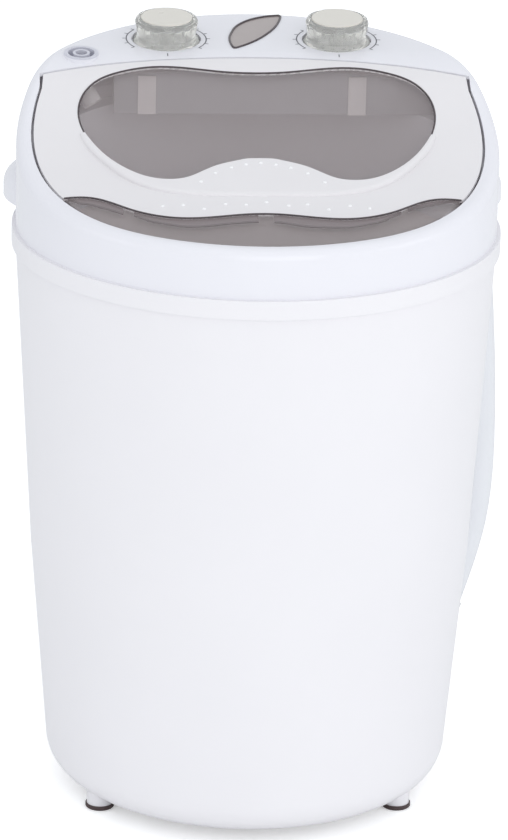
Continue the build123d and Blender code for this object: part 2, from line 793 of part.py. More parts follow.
with BuildPart() as lid_base_whole:
    add(lid_base.part)
    add(lid_skirt.part)
    add(lid_strip.part)
    add(lid_window.part)
    for side in (-1, 1):
        with BuildSketch(Plane(origin=(side * lug_inner_x, hinge_y, pin_z), z_dir=(side, 0, 0))):
            Circle(lug_radius)
        extrude(amount=lug_outer_x - lug_inner_x)
        with BuildSketch(Plane(origin=(side * lug_inner_x, hinge_y, pin_z), z_dir=(side, 0, 0))):
            Circle(pin_radius)
        extrude(amount=pin_end_x - lug_inner_x)
lid_base_whole.part.label = "lid_base"
export_step(lid_base_whole.part, "parts/lid_base.step")

# Pearl lid cover, bonded over the base: window and wavy front edge cut out, a raised ridge between them
ridge_y = -38.0
ridge_lean = degrees(asin(sin(radians(front_angle)) + (ridge_y - rise_start_y) / rise_radius))
ridge_plane = Plane(
    origin=(0, ridge_y, top_height(ridge_y)),
    x_dir=(1, 0, 0),
    z_dir=(0, -sin(radians(ridge_lean)), cos(radians(ridge_lean))),
)
ridge_half = ((-133, 1), (-129, -11), (-117.5, -31), (-95.5, -57), (-70.5, -71), (-37, -75.8), (0, -76))
ridge_curve = [(x, (y - ridge_y) / cos(radians(ridge_lean))) for x, y in ridge_half]
ridge_curve += [(-x, y) for x, y in reversed(ridge_curve[:-1])]
with BuildPart() as ridge:
    with BuildSketch(ridge_plane.offset(-cover_thickness)):
        with BuildLine():
            foot = Spline(*ridge_curve)
            Line(foot @ 1, foot @ 0)
        make_face()
    extrude(amount=cover_thickness + ridge_rise)
    ridge_top = ridge.faces().sort_by(Axis(ridge_plane.origin, ridge_plane.z_dir))[-1]
    fillet(ridge_top.edges().filter_by(GeomType.BSPLINE), ridge_edge_radius)
    extrude(side_view(-3 * ridge_rise, cover_thickness), amount=span, both=True, mode=Mode.INTERSECT)
with BuildPart() as lid_cover:
    extrude(lid_outline(lid_gap), amount=3 * span)
    extrude(side_view(0.0, cover_thickness), amount=span, both=True, mode=Mode.INTERSECT)
    extrude(crescent_outline(), amount=3 * span, mode=Mode.SUBTRACT)
    add(ridge.part)
    extrude(window_outline(), amount=3 * span, mode=Mode.SUBTRACT)
lid_cover.part.label = "lid_cover"
export_step(lid_cover.part, "parts/lid_cover.step")

# Rubber bumpers on the seat that the lid comes down on
bumper_angles = (205.0, 240.0, 300.0, 335.0)
bumper_inset = 5.0
bumper_radius = 3.0
bumper_gap = 0.3
with BuildPart() as lid_bumpers:
    with BuildSketch():
        for angle in bumper_angles:
            with Locations(polar(recess_radius - bumper_inset, angle)):
                Circle(bumper_radius)
    extrude(amount=3 * span)
    extrude(side_view(skirt_depth + bumper_gap, recess_depth), amount=span, both=True, mode=Mode.INTERSECT)
lid_bumpers.part.label = "lid_bumpers"
export_step(lid_bumpers.part, "parts/lid_bumpers.step")

# Leaf-shaped smoky lens let into the deck
lens_fit = 0.15
with BuildPart() as panel_lens:
    with BuildSketch(lens_plane.offset(-lens_depth)):
        add(leaf_outline(lens_fit))
    extrude(amount=lens_depth)
panel_lens.part.label = "panel_lens"
export_step(panel_lens.part, "parts/panel_lens.step")

# Water inlet: a shallow cup with a spigot, and the spout below it that turns towards the tub
inlet_spigot_radius = 6.5
inlet_bore = 4.5
inlet_cup_depth = 9.0
inlet_rim = 1.4
inlet_rim_height = 0.8
inlet_well_depth = 7.0
inlet_wall = 1.5
inlet_spigot_depth = 15.0
inlet_spigot_length = 7.0
spigot_step = 0.5
with BuildPart() as inlet_cup:
    with BuildSketch(inlet_plane.offset(-inlet_cup_depth)):
        Circle(inlet_radius)
    extrude(amount=inlet_cup_depth)
    with BuildSketch(inlet_plane):
        Circle(inlet_radius + inlet_rim)
    extrude(amount=inlet_rim_height)
    with BuildSketch(inlet_plane.offset(-inlet_well_depth)):
        Circle(inlet_radius - inlet_wall)
        Circle(inlet_spigot_radius, mode=Mode.SUBTRACT)
    extrude(amount=span, mode=Mode.SUBTRACT)
    with BuildSketch(inlet_plane.offset(-inlet_spigot_depth)):
        Circle(inlet_spigot_radius - spigot_step)
    extrude(amount=inlet_spigot_length)
    with BuildSketch(inlet_plane.offset(-inlet_spigot_depth - 1)):
        Circle(inlet_bore)
    extrude(amount=span, mode=Mode.SUBTRACT)
inlet_cup.part.label = "inlet_cup"
export_step(inlet_cup.part, "parts/inlet_cup.step")

spout_radius = 7.5
spout_gap = 0.1
spout_drop = 16.0
spout_reach = 11.0
spout_fall = 14.0
spout_bend = 9.0
spout_top = inlet_plane.offset(-inlet_cup_depth - spout_gap)
with BuildLine() as spout_path:
    start = spout_top.origin
    down = start - inlet_plane.z_dir * spout_drop
    towards = Vector(*polar(spout_reach, degrees(atan2(-inlet_y, -inlet_x))), -spout_fall)
    FilletPolyline(start, down, down + towards, radius=spout_bend)
with BuildPart() as inlet_spout:
    with BuildSketch(Plane(origin=start, z_dir=down - start)):
        Circle(spout_radius)
    sweep(path=spout_path.line)
    with BuildSketch(Plane(origin=start, z_dir=down - start)):
        Circle(inlet_spigot_radius - spigot_step)
    sweep(path=spout_path.line, mode=Mode.SUBTRACT)
inlet_spout.part.label = "inlet_spout"
export_step(inlet_spout.part, "parts/inlet_spout.step")

# Timers under the deck, their shafts, and the clear fluted knobs with their caps
timer_names = ("left", "right")
timer_xs = (-knob_x, knob_x)
knob_skirt_radius = 25.4
knob_waist_radius = 22.2
knob_grip_radius = 24.0
knob_height = 20.6
knob_hollow = 15.0
cap_radius = 19.6
cap_seat = 18.7
flute_count = 18
tab_height = 7.0
tab_pitch = 11.0
tab_width = 6.0
tab_thickness = 1.0
timer_corner = 3.0
timer_neck_gap = 0.2
timer_floor = 2.0
timer_screw_radius = 1.3
timer_screw_hole = 12.0
shaft_end_gap = 3.0
shaft_rise = 13.0
knob_gap = 0.6
knob_hub_radius = 6.0
hollow_top_radius = 18.9
hollow_low_radius = 20.0
skirt_edge_z = 2.2
waist_z = 6.0
grip_top_drop = 3.4
bevel_drop = 0.9
bevel_width = 1.0
cap_rim = 0.8
cap_gap = 0.1
cap_thickness = 2.4
flute_low_z = 4.0
flute_offset = 1.1
flute_radius = 2.2
for name, x in zip(timer_names, timer_xs):
    floor = deck_plane(x, knob_y, dish_depth)
    profile = Plane(origin=floor.origin, x_dir=floor.x_dir, z_dir=-floor.y_dir)
    spindle = Axis(floor.origin, floor.z_dir)

    with BuildPart() as timer_body:
        with BuildSketch(floor.offset(dish_depth - boss_depth)):
            RectangleRounded(timer_side, timer_side, timer_corner)
        extrude(amount=-timer_height)
        with BuildSketch(floor.offset(dish_depth - boss_depth)):
            Circle(bush_hole_radius - timer_neck_gap)
        extrude(amount=boss_depth - dish_depth)
        with BuildSketch(floor.offset(dish_depth - boss_depth - timer_height)):
            with GridLocations(tab_pitch, 0, 3, 1):
                Rectangle(tab_width, tab_thickness)
        extrude(amount=-tab_height)
        with BuildSketch(floor):
            Circle(shaft_radius + running)
        extrude(amount=-timer_height + timer_floor, mode=Mode.SUBTRACT)
        with BuildSketch(floor):
            with Locations((-timer_screw_x, 0), (timer_screw_x, 0)):
                Circle(timer_screw_radius)
        extrude(amount=-timer_screw_hole, mode=Mode.SUBTRACT)
    timer_body.part.label = f"timer_{name}"
    export_step(timer_body.part, f"parts/timer_{name}.step")

    with BuildPart() as timer_shaft:
        with BuildSketch(floor.offset(-timer_height + shaft_end_gap)):
            Circle(shaft_radius)
        extrude(amount=timer_height - shaft_end_gap + shaft_rise)
    timer_shaft.part.label = f"timer_shaft_{name}"
    export_step(timer_shaft.part, f"parts/timer_shaft_{name}.step")

    with BuildPart() as knob:
        with BuildSketch(profile):
            with BuildLine():
                Polyline(
                    (shaft_radius, knob_gap),
                    (knob_hub_radius, knob_gap),
                    (knob_hub_radius, knob_hollow),
                    (hollow_top_radius, knob_hollow),
                    (hollow_low_radius, knob_gap),
                    (knob_skirt_radius, knob_gap),
                    (knob_skirt_radius, skirt_edge_z),
                    (knob_waist_radius, waist_z),
                    (knob_grip_radius, knob_height - grip_top_drop),
                    (knob_grip_radius - bevel_width, knob_height - bevel_drop),
                    (cap_radius + cap_rim, knob_height),
                    (cap_radius + cap_gap, cap_seat),
                    (0, cap_seat),
                    (0, shaft_rise),
                    (shaft_radius, shaft_rise),
                    close=True,
                )
            make_face()
        revolve(axis=spindle)
        with BuildSketch(floor.offset(flute_low_z)):
            with PolarLocations(knob_grip_radius + flute_offset, flute_count):
                Circle(flute_radius)
        extrude(amount=knob_height, mode=Mode.SUBTRACT)
    knob.part.label = f"knob_{name}"
    export_step(knob.part, f"parts/knob_{name}.step")

    with BuildPart() as knob_cap:
        with BuildSketch(floor.offset(cap_seat)):
            Circle(cap_radius)
        extrude(amount=cap_thickness)
        fillet(knob_cap.faces().sort_by(spindle)[-1].edges(), cap_rim)
    knob_cap.part.label = f"knob_cap_{name}"
    export_step(knob_cap.part, f"parts/knob_cap_{name}.step")

timer_screw_head_radius = 2.6
timer_screw_head_height = 1.6
timer_screw_length = 9.0
with BuildPart() as timer_screws:
    for x in timer_xs:
        floor = deck_plane(x, knob_y, dish_depth)
        with BuildSketch(floor):
            with Locations((-timer_screw_x, 0), (timer_screw_x, 0)):
                Circle(timer_screw_head_radius)
        extrude(amount=timer_screw_head_height)
        with BuildSketch(floor):
            with Locations((-timer_screw_x, 0), (timer_screw_x, 0)):
                Circle(timer_screw_radius)
        extrude(amount=-timer_screw_length)
timer_screws.part.label = "timer_screws"
export_step(timer_screws.part, "parts/timer_screws.step")

# Steel plate that hangs the whole drive under the tub
plate_screw_radius = 2.0
plate_screw_length = 8.0
plate_width = 136.0
plate_length = 168.0
plate_corner_radius = 22.0
plate_centre_y = 44.0
plate_neck_gap = 0.2
plate_window_radius = 18.0
corner_angles = (45.0, 135.0, 225.0, 315.0)
housing_screw_circle = 27.0
motor_mount_circle = 40.0
capacitor_x = -78.0
capacitor_y = 40.0
capacitor_radius = 17.5
strap_thickness = 1.5
strap_gap = 1.0
strap_foot = 16.0
strap_x = capacitor_x + capacitor_radius + strap_gap
strap_width = 14.0
strap_screw_x = strap_x + strap_foot / 2
housing_screw_points = [polar(housing_screw_circle, angle) for angle in corner_angles]
motor_mount_points = [(x, motor_y + y) for x, y in (polar(motor_mount_circle, angle) for angle in corner_angles)]
with BuildPart() as drive_plate:
    with BuildSketch(Plane.XY.offset(plate_z)):
        with Locations((0, plate_centre_y)):
            RectangleRounded(plate_width, plate_length, plate_corner_radius)
        Circle(neck_radius + plate_neck_gap, mode=Mode.SUBTRACT)
        with Locations(*tub_boss_points):
            Circle(plate_screw_radius, mode=Mode.SUBTRACT)
        with Locations(*housing_screw_points):
            Circle(plate_screw_radius, mode=Mode.SUBTRACT)
        with Locations(*motor_mount_points):
            Circle(plate_screw_radius, mode=Mode.SUBTRACT)
        with Locations((strap_screw_x, capacitor_y)):
            Circle(plate_screw_radius, mode=Mode.SUBTRACT)
        with Locations((0, motor_y)):
            Circle(plate_window_radius, mode=Mode.SUBTRACT)
    extrude(amount=plate_thickness)
drive_plate.part.label = "drive_plate"
export_step(drive_plate.part, "parts/drive_plate.step")

plate_screw_places = [(x, y, plate_z) for x, y in tub_boss_points]
plate_screw_places.append((strap_screw_x, capacitor_y, plate_z - strap_thickness))
with BuildPart() as plate_screws:
    for x, y, seat_z in plate_screw_places:
        with BuildSketch(Plane.XY.offset(seat_z - screw_head_height)):
            with Locations((x, y)):
                Circle(head_radius)
        extrude(amount=screw_head_height)
        with BuildSketch(Plane.XY.offset(seat_z)):
            with Locations((x, y)):
                Circle(tapping_radius)
        extrude(amount=plate_screw_length)
plate_screws.part.label = "plate_screws"
export_step(plate_screws.part, "parts/plate_screws.step")

# Bearing housing: flange under the plate, long sleeve, and a neck up through the tub's floor
housing_low_z = 82.0
neck_top_z = 158.5
bush_radius = 8.0
seal_radius = 11.0
seal_low_z = 150.0
seal_high_z = 156.0
housing_flange_radius = 34.0
housing_flange_thickness = 5.0
housing_sleeve_radius = 20.0
housing_screw_head_height = 2.2
bush_length = 16.0
upper_bush_z = 126.0
washer_radius = 24.0
washer_thickness = 1.5
nut_radius = 21.0
nut_sides = 8
nut_height = 4.0
with BuildPart() as bearing_housing:
    with BuildSketch(Plane.XY.offset(plate_z - housing_flange_thickness)):
        Circle(housing_flange_radius)
        with Locations(*housing_screw_points):
            Circle(tapping_radius, mode=Mode.SUBTRACT)
    extrude(amount=housing_flange_thickness)
    with BuildSketch(Plane.XY.offset(housing_low_z)):
        Circle(housing_sleeve_radius)
    extrude(amount=plate_z - housing_flange_thickness - housing_low_z)
    with BuildSketch(Plane.XY.offset(plate_z)):
        Circle(neck_radius - running)
    extrude(amount=neck_top_z - plate_z)
    with BuildSketch(Plane.XY.offset(housing_low_z)):
        Circle(bush_radius)
    extrude(amount=neck_top_z - housing_low_z, mode=Mode.SUBTRACT)
    with BuildSketch(Plane.XY.offset(seal_low_z)):
        Circle(seal_radius)
    extrude(amount=neck_top_z - seal_low_z, mode=Mode.SUBTRACT)
bearing_housing.part.label = "bearing_housing"
export_step(bearing_housing.part, "parts/bearing_housing.step")

with BuildPart() as housing_screws:
    with BuildSketch(Plane.XY.offset(plate_z + plate_thickness)):
        with Locations(*housing_screw_points):
            Circle(head_radius)
    extrude(amount=housing_screw_head_height)
    with BuildSketch(Plane.XY.offset(plate_z + plate_thickness)):
        with Locations(*housing_screw_points):
            Circle(tapping_radius)
    extrude(amount=-plate_thickness - housing_flange_thickness)
housing_screws.part.label = "housing_screws"
export_step(housing_screws.part, "parts/housing_screws.step")

with BuildPart() as shaft_bushes:
    for low_z in (housing_low_z, upper_bush_z):
        with BuildSketch(Plane.XY.offset(low_z)):
            Circle(bush_radius)
            Circle(shaft_r + running, mode=Mode.SUBTRACT)
        extrude(amount=bush_length)
shaft_bushes.part.label = "shaft_bushes"
export_step(shaft_bushes.part, "parts/shaft_bushes.step")

with BuildPart() as shaft_seal:
    with BuildSketch(Plane.XY.offset(seal_low_z)):
        Circle(seal_radius)
        Circle(shaft_r + running, mode=Mode.SUBTRACT)
    extrude(amount=seal_high_z - seal_low_z)
shaft_seal.part.label = "shaft_seal"
export_step(shaft_seal.part, "parts/shaft_seal.step")

with BuildPart() as neck_washer:
    with BuildSketch(Plane.XY.offset(tub_floor_z)):
        Circle(washer_radius)
        Circle(neck_radius, mode=Mode.SUBTRACT)
    extrude(amount=washer_thickness)
neck_washer.part.label = "neck_washer"
export_step(neck_washer.part, "parts/neck_washer.step")

with BuildPart() as neck_nut:
    with BuildSketch(Plane.XY.offset(tub_floor_z + washer_thickness)):
        RegularPolygon(nut_radius, nut_sides)
        Circle(neck_radius - running, mode=Mode.SUBTRACT)
    extrude(amount=nut_height)
neck_nut.part.label = "neck_nut"
export_step(neck_nut.part, "parts/neck_nut.step")

# Pulsator and its shaft
vane_count = 4
vane_circle = 50.0
vane_length = 74.0
vane_width = 13.0
vane_root = 4.0
vane_height = 19.0
vane_taper = 12.0
shaft_low_z = 38.0
shaft_high_z = 177.0
shaft_hole_z = 163.0
pulsator_screw_radius = 1.9
pulsator_screw_low_z = 165.0
pulsator_screw_head_radius = 5.0
pulsator_screw_head_height = 2.6
hub_foot_radius = 12.0
hub_foot_drop = 0.5
rim_height = 5.0
rim_edge_radius = 2.0
cone_radius = 34.0
cone_rise = 7.0
cone_middle_radius = 22.0
cone_middle_rise = 12.0
tower_radius = 15.0
tower_rise = 25.0
cap_well_radius = 11.0
cap_well_rise = 20.0
screw_clearance_radius = 2.2
pulsator_cap_z = 184.0
pulsator_cap_height = 4.0
pulsator_cap_edge = 2.0
shaft_clip_z = 80.0
shaft_clip_radius = 8.0
shaft_clip_mouth = 6.0
shaft_clip_thickness = 1.4
with BuildPart() as pulsator_shaft:
    with BuildSketch(Plane.XY.offset(shaft_low_z)):
        Circle(shaft_r)
    extrude(amount=shaft_high_z - shaft_low_z)
    with BuildSketch(Plane.XY.offset(shaft_hole_z)):
        Circle(pulsator_screw_radius)
    extrude(amount=shaft_high_z - shaft_hole_z, mode=Mode.SUBTRACT)
pulsator_shaft.part.label = "pulsator_shaft"
export_step(pulsator_shaft.part, "parts/pulsator_shaft.step")

with BuildPart() as pulsator:
    with BuildSketch(Plane.XZ):
        with BuildLine():
            Polyline(
                (shaft_r, pulsator_z - hub_foot_drop),
                (hub_foot_radius, pulsator_z - hub_foot_drop),
                (hub_foot_radius, pulsator_z),
                (pulsator_radius, pulsator_z),
                (pulsator_radius, pulsator_z + rim_height),
                (cone_radius, pulsator_z + cone_rise),
            )
            ThreePointArc(
                (cone_radius, pulsator_z + cone_rise),
                (cone_middle_radius, pulsator_z + cone_middle_rise),
                (tower_radius, pulsator_z + tower_rise),
            )
            Polyline(
                (tower_radius, pulsator_z + tower_rise),
                (cap_well_radius, pulsator_z + tower_rise),
                (cap_well_radius, pulsator_z + cap_well_rise),
                (screw_clearance_radius, pulsator_z + cap_well_rise),
                (screw_clearance_radius, shaft_high_z),
                (shaft_r, shaft_high_z),
                (shaft_r, pulsator_z - hub_foot_drop),
            )
        make_face()
    revolve(axis=Axis.Z)
    with BuildSketch(Plane.XY.offset(pulsator_z + vane_root)):
        with PolarLocations(vane_circle, vane_count):
            SlotOverall(vane_length, vane_width)
    extrude(amount=vane_height, taper=vane_taper)
    fillet(pulsator.edges().filter_by(GeomType.CIRCLE).filter_by(
        lambda edge: abs(edge.radius - pulsator_radius) < 0.1).sort_by(Axis.Z)[-1:], rim_edge_radius)
pulsator.part.label = "pulsator"
export_step(pulsator.part, "parts/pulsator.step")

with BuildPart() as pulsator_screw:
    with BuildSketch(Plane.XY.offset(pulsator_z + cap_well_rise)):
        Circle(pulsator_screw_head_radius)
    extrude(amount=pulsator_screw_head_height)
    with BuildSketch(Plane.XY.offset(pulsator_screw_low_z)):
        Circle(pulsator_screw_radius)
    extrude(amount=pulsator_z + cap_well_rise - pulsator_screw_low_z)
pulsator_screw.part.label = "pulsator_screw"
export_step(pulsator_screw.part, "parts/pulsator_screw.step")

with BuildPart() as pulsator_cap:
    with BuildSketch(Plane.XY.offset(pulsator_cap_z)):
        Circle(cap_well_radius)
    extrude(amount=pulsator_cap_height)
    fillet(pulsator_cap.edges().sort_by(Axis.Z)[-1:], pulsator_cap_edge)
pulsator_cap.part.label = "pulsator_cap"
export_step(pulsator_cap.part, "parts/pulsator_cap.step")

with BuildPart() as shaft_clip:
    with BuildSketch(Plane.XY.offset(shaft_clip_z)):
        Circle(shaft_clip_radius)
        Circle(shaft_r, mode=Mode.SUBTRACT)
        with Locations((0, -shaft_clip_radius)):
            Rectangle(shaft_clip_mouth, shaft_clip_radius, mode=Mode.SUBTRACT)
    extrude(amount=shaft_clip_thickness)
shaft_clip.part.label = "shaft_clip"
export_step(shaft_clip.part, "parts/shaft_clip.step")

# Pulleys and belt
groove_clearance = 0.3
pulley_rim_wall = 1.6
pulley_web = 3.6
hub_overhang = 6.0
pulley_hub_radius = 12.0
pulley_rim_depth = 6.0
pulley_hole_circle = 30.0
pulley_hole_count = 5
pulley_hole_radius = 9.0
pulley_hole_depth = 20.0
belt_low_z = belt_z - belt_width / 2


def pulley_profile(bore, groove_radius, hub_radius, web_radius):
    """Half section of a flanged pulley round the belt's plane."""
    flange_radius = groove_radius + belt_thickness
    groove_half = belt_width / 2 + groove_clearance
    rim_half = groove_half + pulley_rim_wall
    with BuildSketch(Plane.XZ) as section:
        with Locations(((bore + hub_radius) / 2, belt_z)):
            Rectangle(hub_radius - bore, 2 * rim_half + hub_overhang)
        with Locations(((bore + groove_radius) / 2, belt_z)):
            Rectangle(groove_radius - bore, pulley_web)
        with Locations(((web_radius + flange_radius) / 2, belt_z)):
            Rectangle(flange_radius - web_radius, 2 * rim_half)
        with Locations((flange_radius, belt_z)):
            Rectangle(2 * (belt_thickness + groove_clearance), 2 * groove_half, mode=Mode.SUBTRACT)
    return section.sketch


with BuildPart() as driven_pulley:
    revolve(pulley_profile(shaft_r, driven_radius, pulley_hub_radius, driven_radius - pulley_rim_depth), axis=Axis.Z)
    with BuildSketch(Plane.XY.offset(belt_z - pulley_hole_depth / 2)):
        with PolarLocations(pulley_hole_circle, pulley_hole_count):
            Circle(pulley_hole_radius)
    extrude(amount=pulley_hole_depth, mode=Mode.SUBTRACT)
driven_pulley.part.label = "driven_pulley"
export_step(driven_pulley.part, "parts/driven_pulley.step")

with BuildPart() as motor_pulley:
    revolve(pulley_profile(shaft_r, motor_pulley_radius, motor_pulley_radius - 1, shaft_r), axis=Axis.Z)
motor_pulley_placed = motor_pulley.part.moved(Location((0, motor_y, 0)))
motor_pulley_placed.label = "motor_pulley"
export_step(motor_pulley_placed, "parts/motor_pulley.step")


def belt_loop(extra):
    """Plan of the area inside a belt run this far outside the grooves."""
    with BuildSketch(Plane.XY.offset(belt_low_z)) as loop:
        Circle(driven_radius + extra)
        with Locations((0, motor_y)):
            Circle(motor_pulley_radius + extra)
        make_hull()
    return loop.sketch


with BuildPart() as drive_belt:
    extrude(belt_loop(belt_thickness), amount=belt_width)
    extrude(belt_loop(0), amount=belt_width, mode=Mode.SUBTRACT)
drive_belt.part.label = "drive_belt"
export_step(drive_belt.part, "parts/drive_belt.step")

# Motor: two end caps over the stator, windings, rotor and shaft, hung from the plate on rubber mounts
stator_low_z = 74.0
stator_high_z = 122.0
stator_radius = 46.0
stator_bore = 27.0
cap_wall = 2.5
winding_inner = 28.5
winding_outer = 35.0
winding_height = 7.0
cap_vent_circle = 28.0
cap_vent_count = 8
cap_vent_radius = 3.5
cap_vent_turn = 22.5
cap_boss_radius = 10.0
cap_boss_drop = 2.0
mount_boss_radius = 4.4
stator_slot_circle = 37.0
stator_slot_count = 12
stator_slot_radius = 2.4
rotor_gap = 1.0
rotor_inset = 4.0
shaft_top_gap = 3.0
mount_radius = 8.0
mount_bore = 2.0
motor_screw_head_radius = 4.2
motor_screw_head_height = 2.4
motor_screw_bite = 7.0
cap_specs = (
    ("motor_cap_lower", motor_low_z, stator_low_z, motor_low_z),
    ("motor_cap_upper", stator_high_z, motor_high_z, motor_high_z - cap_wall),
)
for name, low_z, high_z, disc_z in cap_specs:
    with BuildPart() as motor_cap:
        with BuildSketch(Plane.XY.offset(low_z)):
            with Locations((0, motor_y)):
                Circle(motor_radius)
                Circle(motor_radius - cap_wall - rotor_gap, mode=Mode.SUBTRACT)
        extrude(amount=high_z - low_z)
        with BuildSketch(Plane.XY.offset(disc_z)):
            with Locations((0, motor_y)):
                Circle(motor_radius - cap_wall)
                with PolarLocations(cap_vent_circle, cap_vent_count, cap_vent_turn):
                    Circle(cap_vent_radius, mode=Mode.SUBTRACT)
        extrude(amount=cap_wall)
        with BuildSketch(Plane.XY.offset(low_z)):
            with Locations((0, motor_y)):
                Circle(cap_boss_radius)
        extrude(amount=high_z - low_z - cap_boss_drop if low_z == motor_low_z else high_z - low_z)
        if name == "motor_cap_upper":
            with BuildSketch(Plane.XY.offset(low_z + cap_boss_drop)):
                with Locations(*motor_mount_points):
                    Circle(mount_boss_radius)
            extrude(amount=high_z - low_z - cap_boss_drop)
            with BuildSketch(Plane.XY.offset(low_z + cap_boss_drop)):
                with Locations(*motor_mount_points):
                    Circle(tapping_radius)
            extrude(amount=high_z - low_z - cap_boss_drop, mode=Mode.SUBTRACT)
        with BuildSketch(Plane.XY.offset(low_z)):
            with Locations((0, motor_y)):
                Circle(shaft_r + running)
        extrude(amount=high_z - low_z, mode=Mode.SUBTRACT)
    motor_cap.part.label = name
    export_step(motor_cap.part, f"parts/{name}.step")

with BuildPart() as motor_stator:
    with BuildSketch(Plane.XY.offset(stator_low_z)):
        with Locations((0, motor_y)):
            Circle(stator_radius)
            Circle(stator_bore, mode=Mode.SUBTRACT)
            with PolarLocations(stator_slot_circle, stator_slot_count):
                Circle(stator_slot_radius, mode=Mode.SUBTRACT)
    extrude(amount=stator_high_z - stator_low_z)
motor_stator.part.label = "motor_stator"
export_step(motor_stator.part, "parts/motor_stator.step")

with BuildPart() as stator_windings:
    for low_z in (stator_low_z - winding_height, stator_high_z):
        with BuildSketch(Plane.XY.offset(low_z)):
            with Locations((0, motor_y)):
                Circle(winding_outer)
                Circle(winding_inner, mode=Mode.SUBTRACT)
        extrude(amount=winding_height)
stator_windings.part.label = "stator_windings"
export_step(stator_windings.part, "parts/stator_windings.step")

with BuildPart() as motor_rotor:
    with BuildSketch(Plane.XY.offset(stator_low_z + rotor_inset)):
        with Locations((0, motor_y)):
            Circle(stator_bore - rotor_gap)
            Circle(shaft_r, mode=Mode.SUBTRACT)
    extrude(amount=stator_high_z - stator_low_z - 2 * rotor_inset)
motor_rotor.part.label = "motor_rotor"
export_step(motor_rotor.part, "parts/motor_rotor.step")

with BuildPart() as motor_shaft:
    with BuildSketch(Plane.XY.offset(shaft_low_z)):
        with Locations((0, motor_y)):
            Circle(shaft_r)
    extrude(amount=motor_high_z - shaft_top_gap - shaft_low_z)
motor_shaft.part.label = "motor_shaft"
export_step(motor_shaft.part, "parts/motor_shaft.step")

with BuildPart() as motor_mounts:
    with BuildSketch(Plane.XY.offset(motor_high_z)):
        with Locations(*motor_mount_points):
            Circle(mount_radius)
            Circle(mount_bore, mode=Mode.SUBTRACT)
    extrude(amount=plate_z - motor_high_z)
motor_mounts.part.label = "motor_mounts"
export_step(motor_mounts.part, "parts/motor_mounts.step")

with BuildPart() as motor_screws:
    with BuildSketch(Plane.XY.offset(plate_z + plate_thickness)):
        with Locations(*motor_mount_points):
            Circle(motor_screw_head_radius)
    extrude(amount=motor_screw_head_height)
    with BuildSketch(Plane.XY.offset(plate_z + plate_thickness)):
        with Locations(*motor_mount_points):
            Circle(tapping_radius)
    extrude(amount=-plate_thickness - plate_z + motor_high_z - motor_screw_bite)
motor_screws.part.label = "motor_screws"
export_step(motor_screws.part, "parts/motor_screws.step")

# Terminal block on the motor's side, which the wiring ends in
loom_out = Vector(*polar(1, loom_angle), 0)
block_r = 130.0
block_z = 98.0
block_width = 24.0
block_height = 16.0
block_corner = 2.0
block_depth = 14.0
with BuildPart() as terminal_block:
    with BuildSketch(Plane(origin=loom_out * block_r + Vector(0, 0, block_z), z_dir=loom_out)):
        RectangleRounded(block_width, block_height, block_corner)
    extrude(amount=-block_depth)
    with BuildSketch(Plane.XY.offset(block_z - block_height)):
        with Locations((0, motor_y)):
            Circle(stator_radius)
    extrude(amount=2 * block_height, mode=Mode.SUBTRACT)
terminal_block.part.label = "terminal_block"
export_step(terminal_block.part, "parts/terminal_block.step")

# Run capacitor in a strap under the plate's edge
capacitor_low_z = 66.0
capacitor_length = 62.0
capacitor_edge = 2.0
capacitor_tab_x = 5.0
capacitor_tab_height = 7.0
strap_low_z = 96.0
strap_height = 16.0
with BuildPart() as capacitor:
    with BuildSketch(Plane.XY.offset(capacitor_low_z)):
        with Locations((capacitor_x, capacitor_y)):
            Circle(capacitor_radius)
    extrude(amount=capacitor_length)
    fillet(capacitor.edges(), capacitor_edge)
    with BuildSketch(Plane.XY.offset(capacitor_low_z + capacitor_length)):
        with Locations((capacitor_x - capacitor_tab_x, capacitor_y), (capacitor_x + capacitor_tab_x, capacitor_y)):
            Rectangle(tab_thickness, tab_width)
    extrude(amount=capacitor_tab_height)
capacitor.part.label = "capacitor"
export_step(capacitor.part, "parts/capacitor.step")

with BuildPart() as capacitor_strap:
    with BuildSketch(Plane.XY.offset(strap_low_z)):
        with Locations((capacitor_x, capacitor_y)):
            Circle(capacitor_radius + strap_thickness)
            Circle(capacitor_radius, mode=Mode.SUBTRACT)
    extrude(amount=strap_height)
    with BuildSketch(Plane.XY.offset(strap_low_z)):
        with Locations((strap_x + strap_thickness / 2, capacitor_y)):
            Rectangle(strap_thickness, strap_width)
    extrude(amount=plate_z - strap_low_z)
    with BuildSketch(Plane.XY.offset(plate_z - strap_thickness)):
        with Locations((strap_screw_x, capacitor_y)):
            Rectangle(strap_foot, strap_width)
        with Locations((strap_screw_x, capacitor_y)):
            Circle(plate_screw_radius, mode=Mode.SUBTRACT)
    extrude(amount=strap_thickness)
capacitor_strap.part.label = "capacitor_strap"
export_step(capacitor_strap.part, "parts/capacitor_strap.step")

# Drain: a soft elbow from the tub's spigot, a rigid elbow through the wall, and the hose outside
drain_out = Vector(*polar(1, drain_angle), 0)


def drain_point(radius, height):
    """Point in the upright plane that the drain lies in."""
    return drain_out * radius + Vector(0, 0, height)


def ring_plane(radius, height, direction):
    """Plane square to the drain's run at a point in its upright plane."""
    return Plane(origin=drain_point(radius, height), z_dir=direction)


elbow_radius = 15.0
elbow_bend = 26.0
elbow_end_r = 150.0
elbow_top_z = tub_base_z - 1
with BuildLine() as elbow_path:
    FilletPolyline(
        drain_point(outlet_r, elbow_top_z),
        drain_point(outlet_r, outlet_z),
        drain_point(elbow_end_r, outlet_z),
        radius=elbow_bend,
    )
with BuildPart() as drain_elbow:
    with BuildSketch(ring_plane(outlet_r, elbow_top_z, (0, 0, -1))):
        Circle(elbow_radius)
        Circle(spigot_radius, mode=Mode.SUBTRACT)
    sweep(path=elbow_path.line)
drain_elbow.part.label = "drain_elbow"
export_step(drain_elbow.part, "parts/drain_elbow.step")

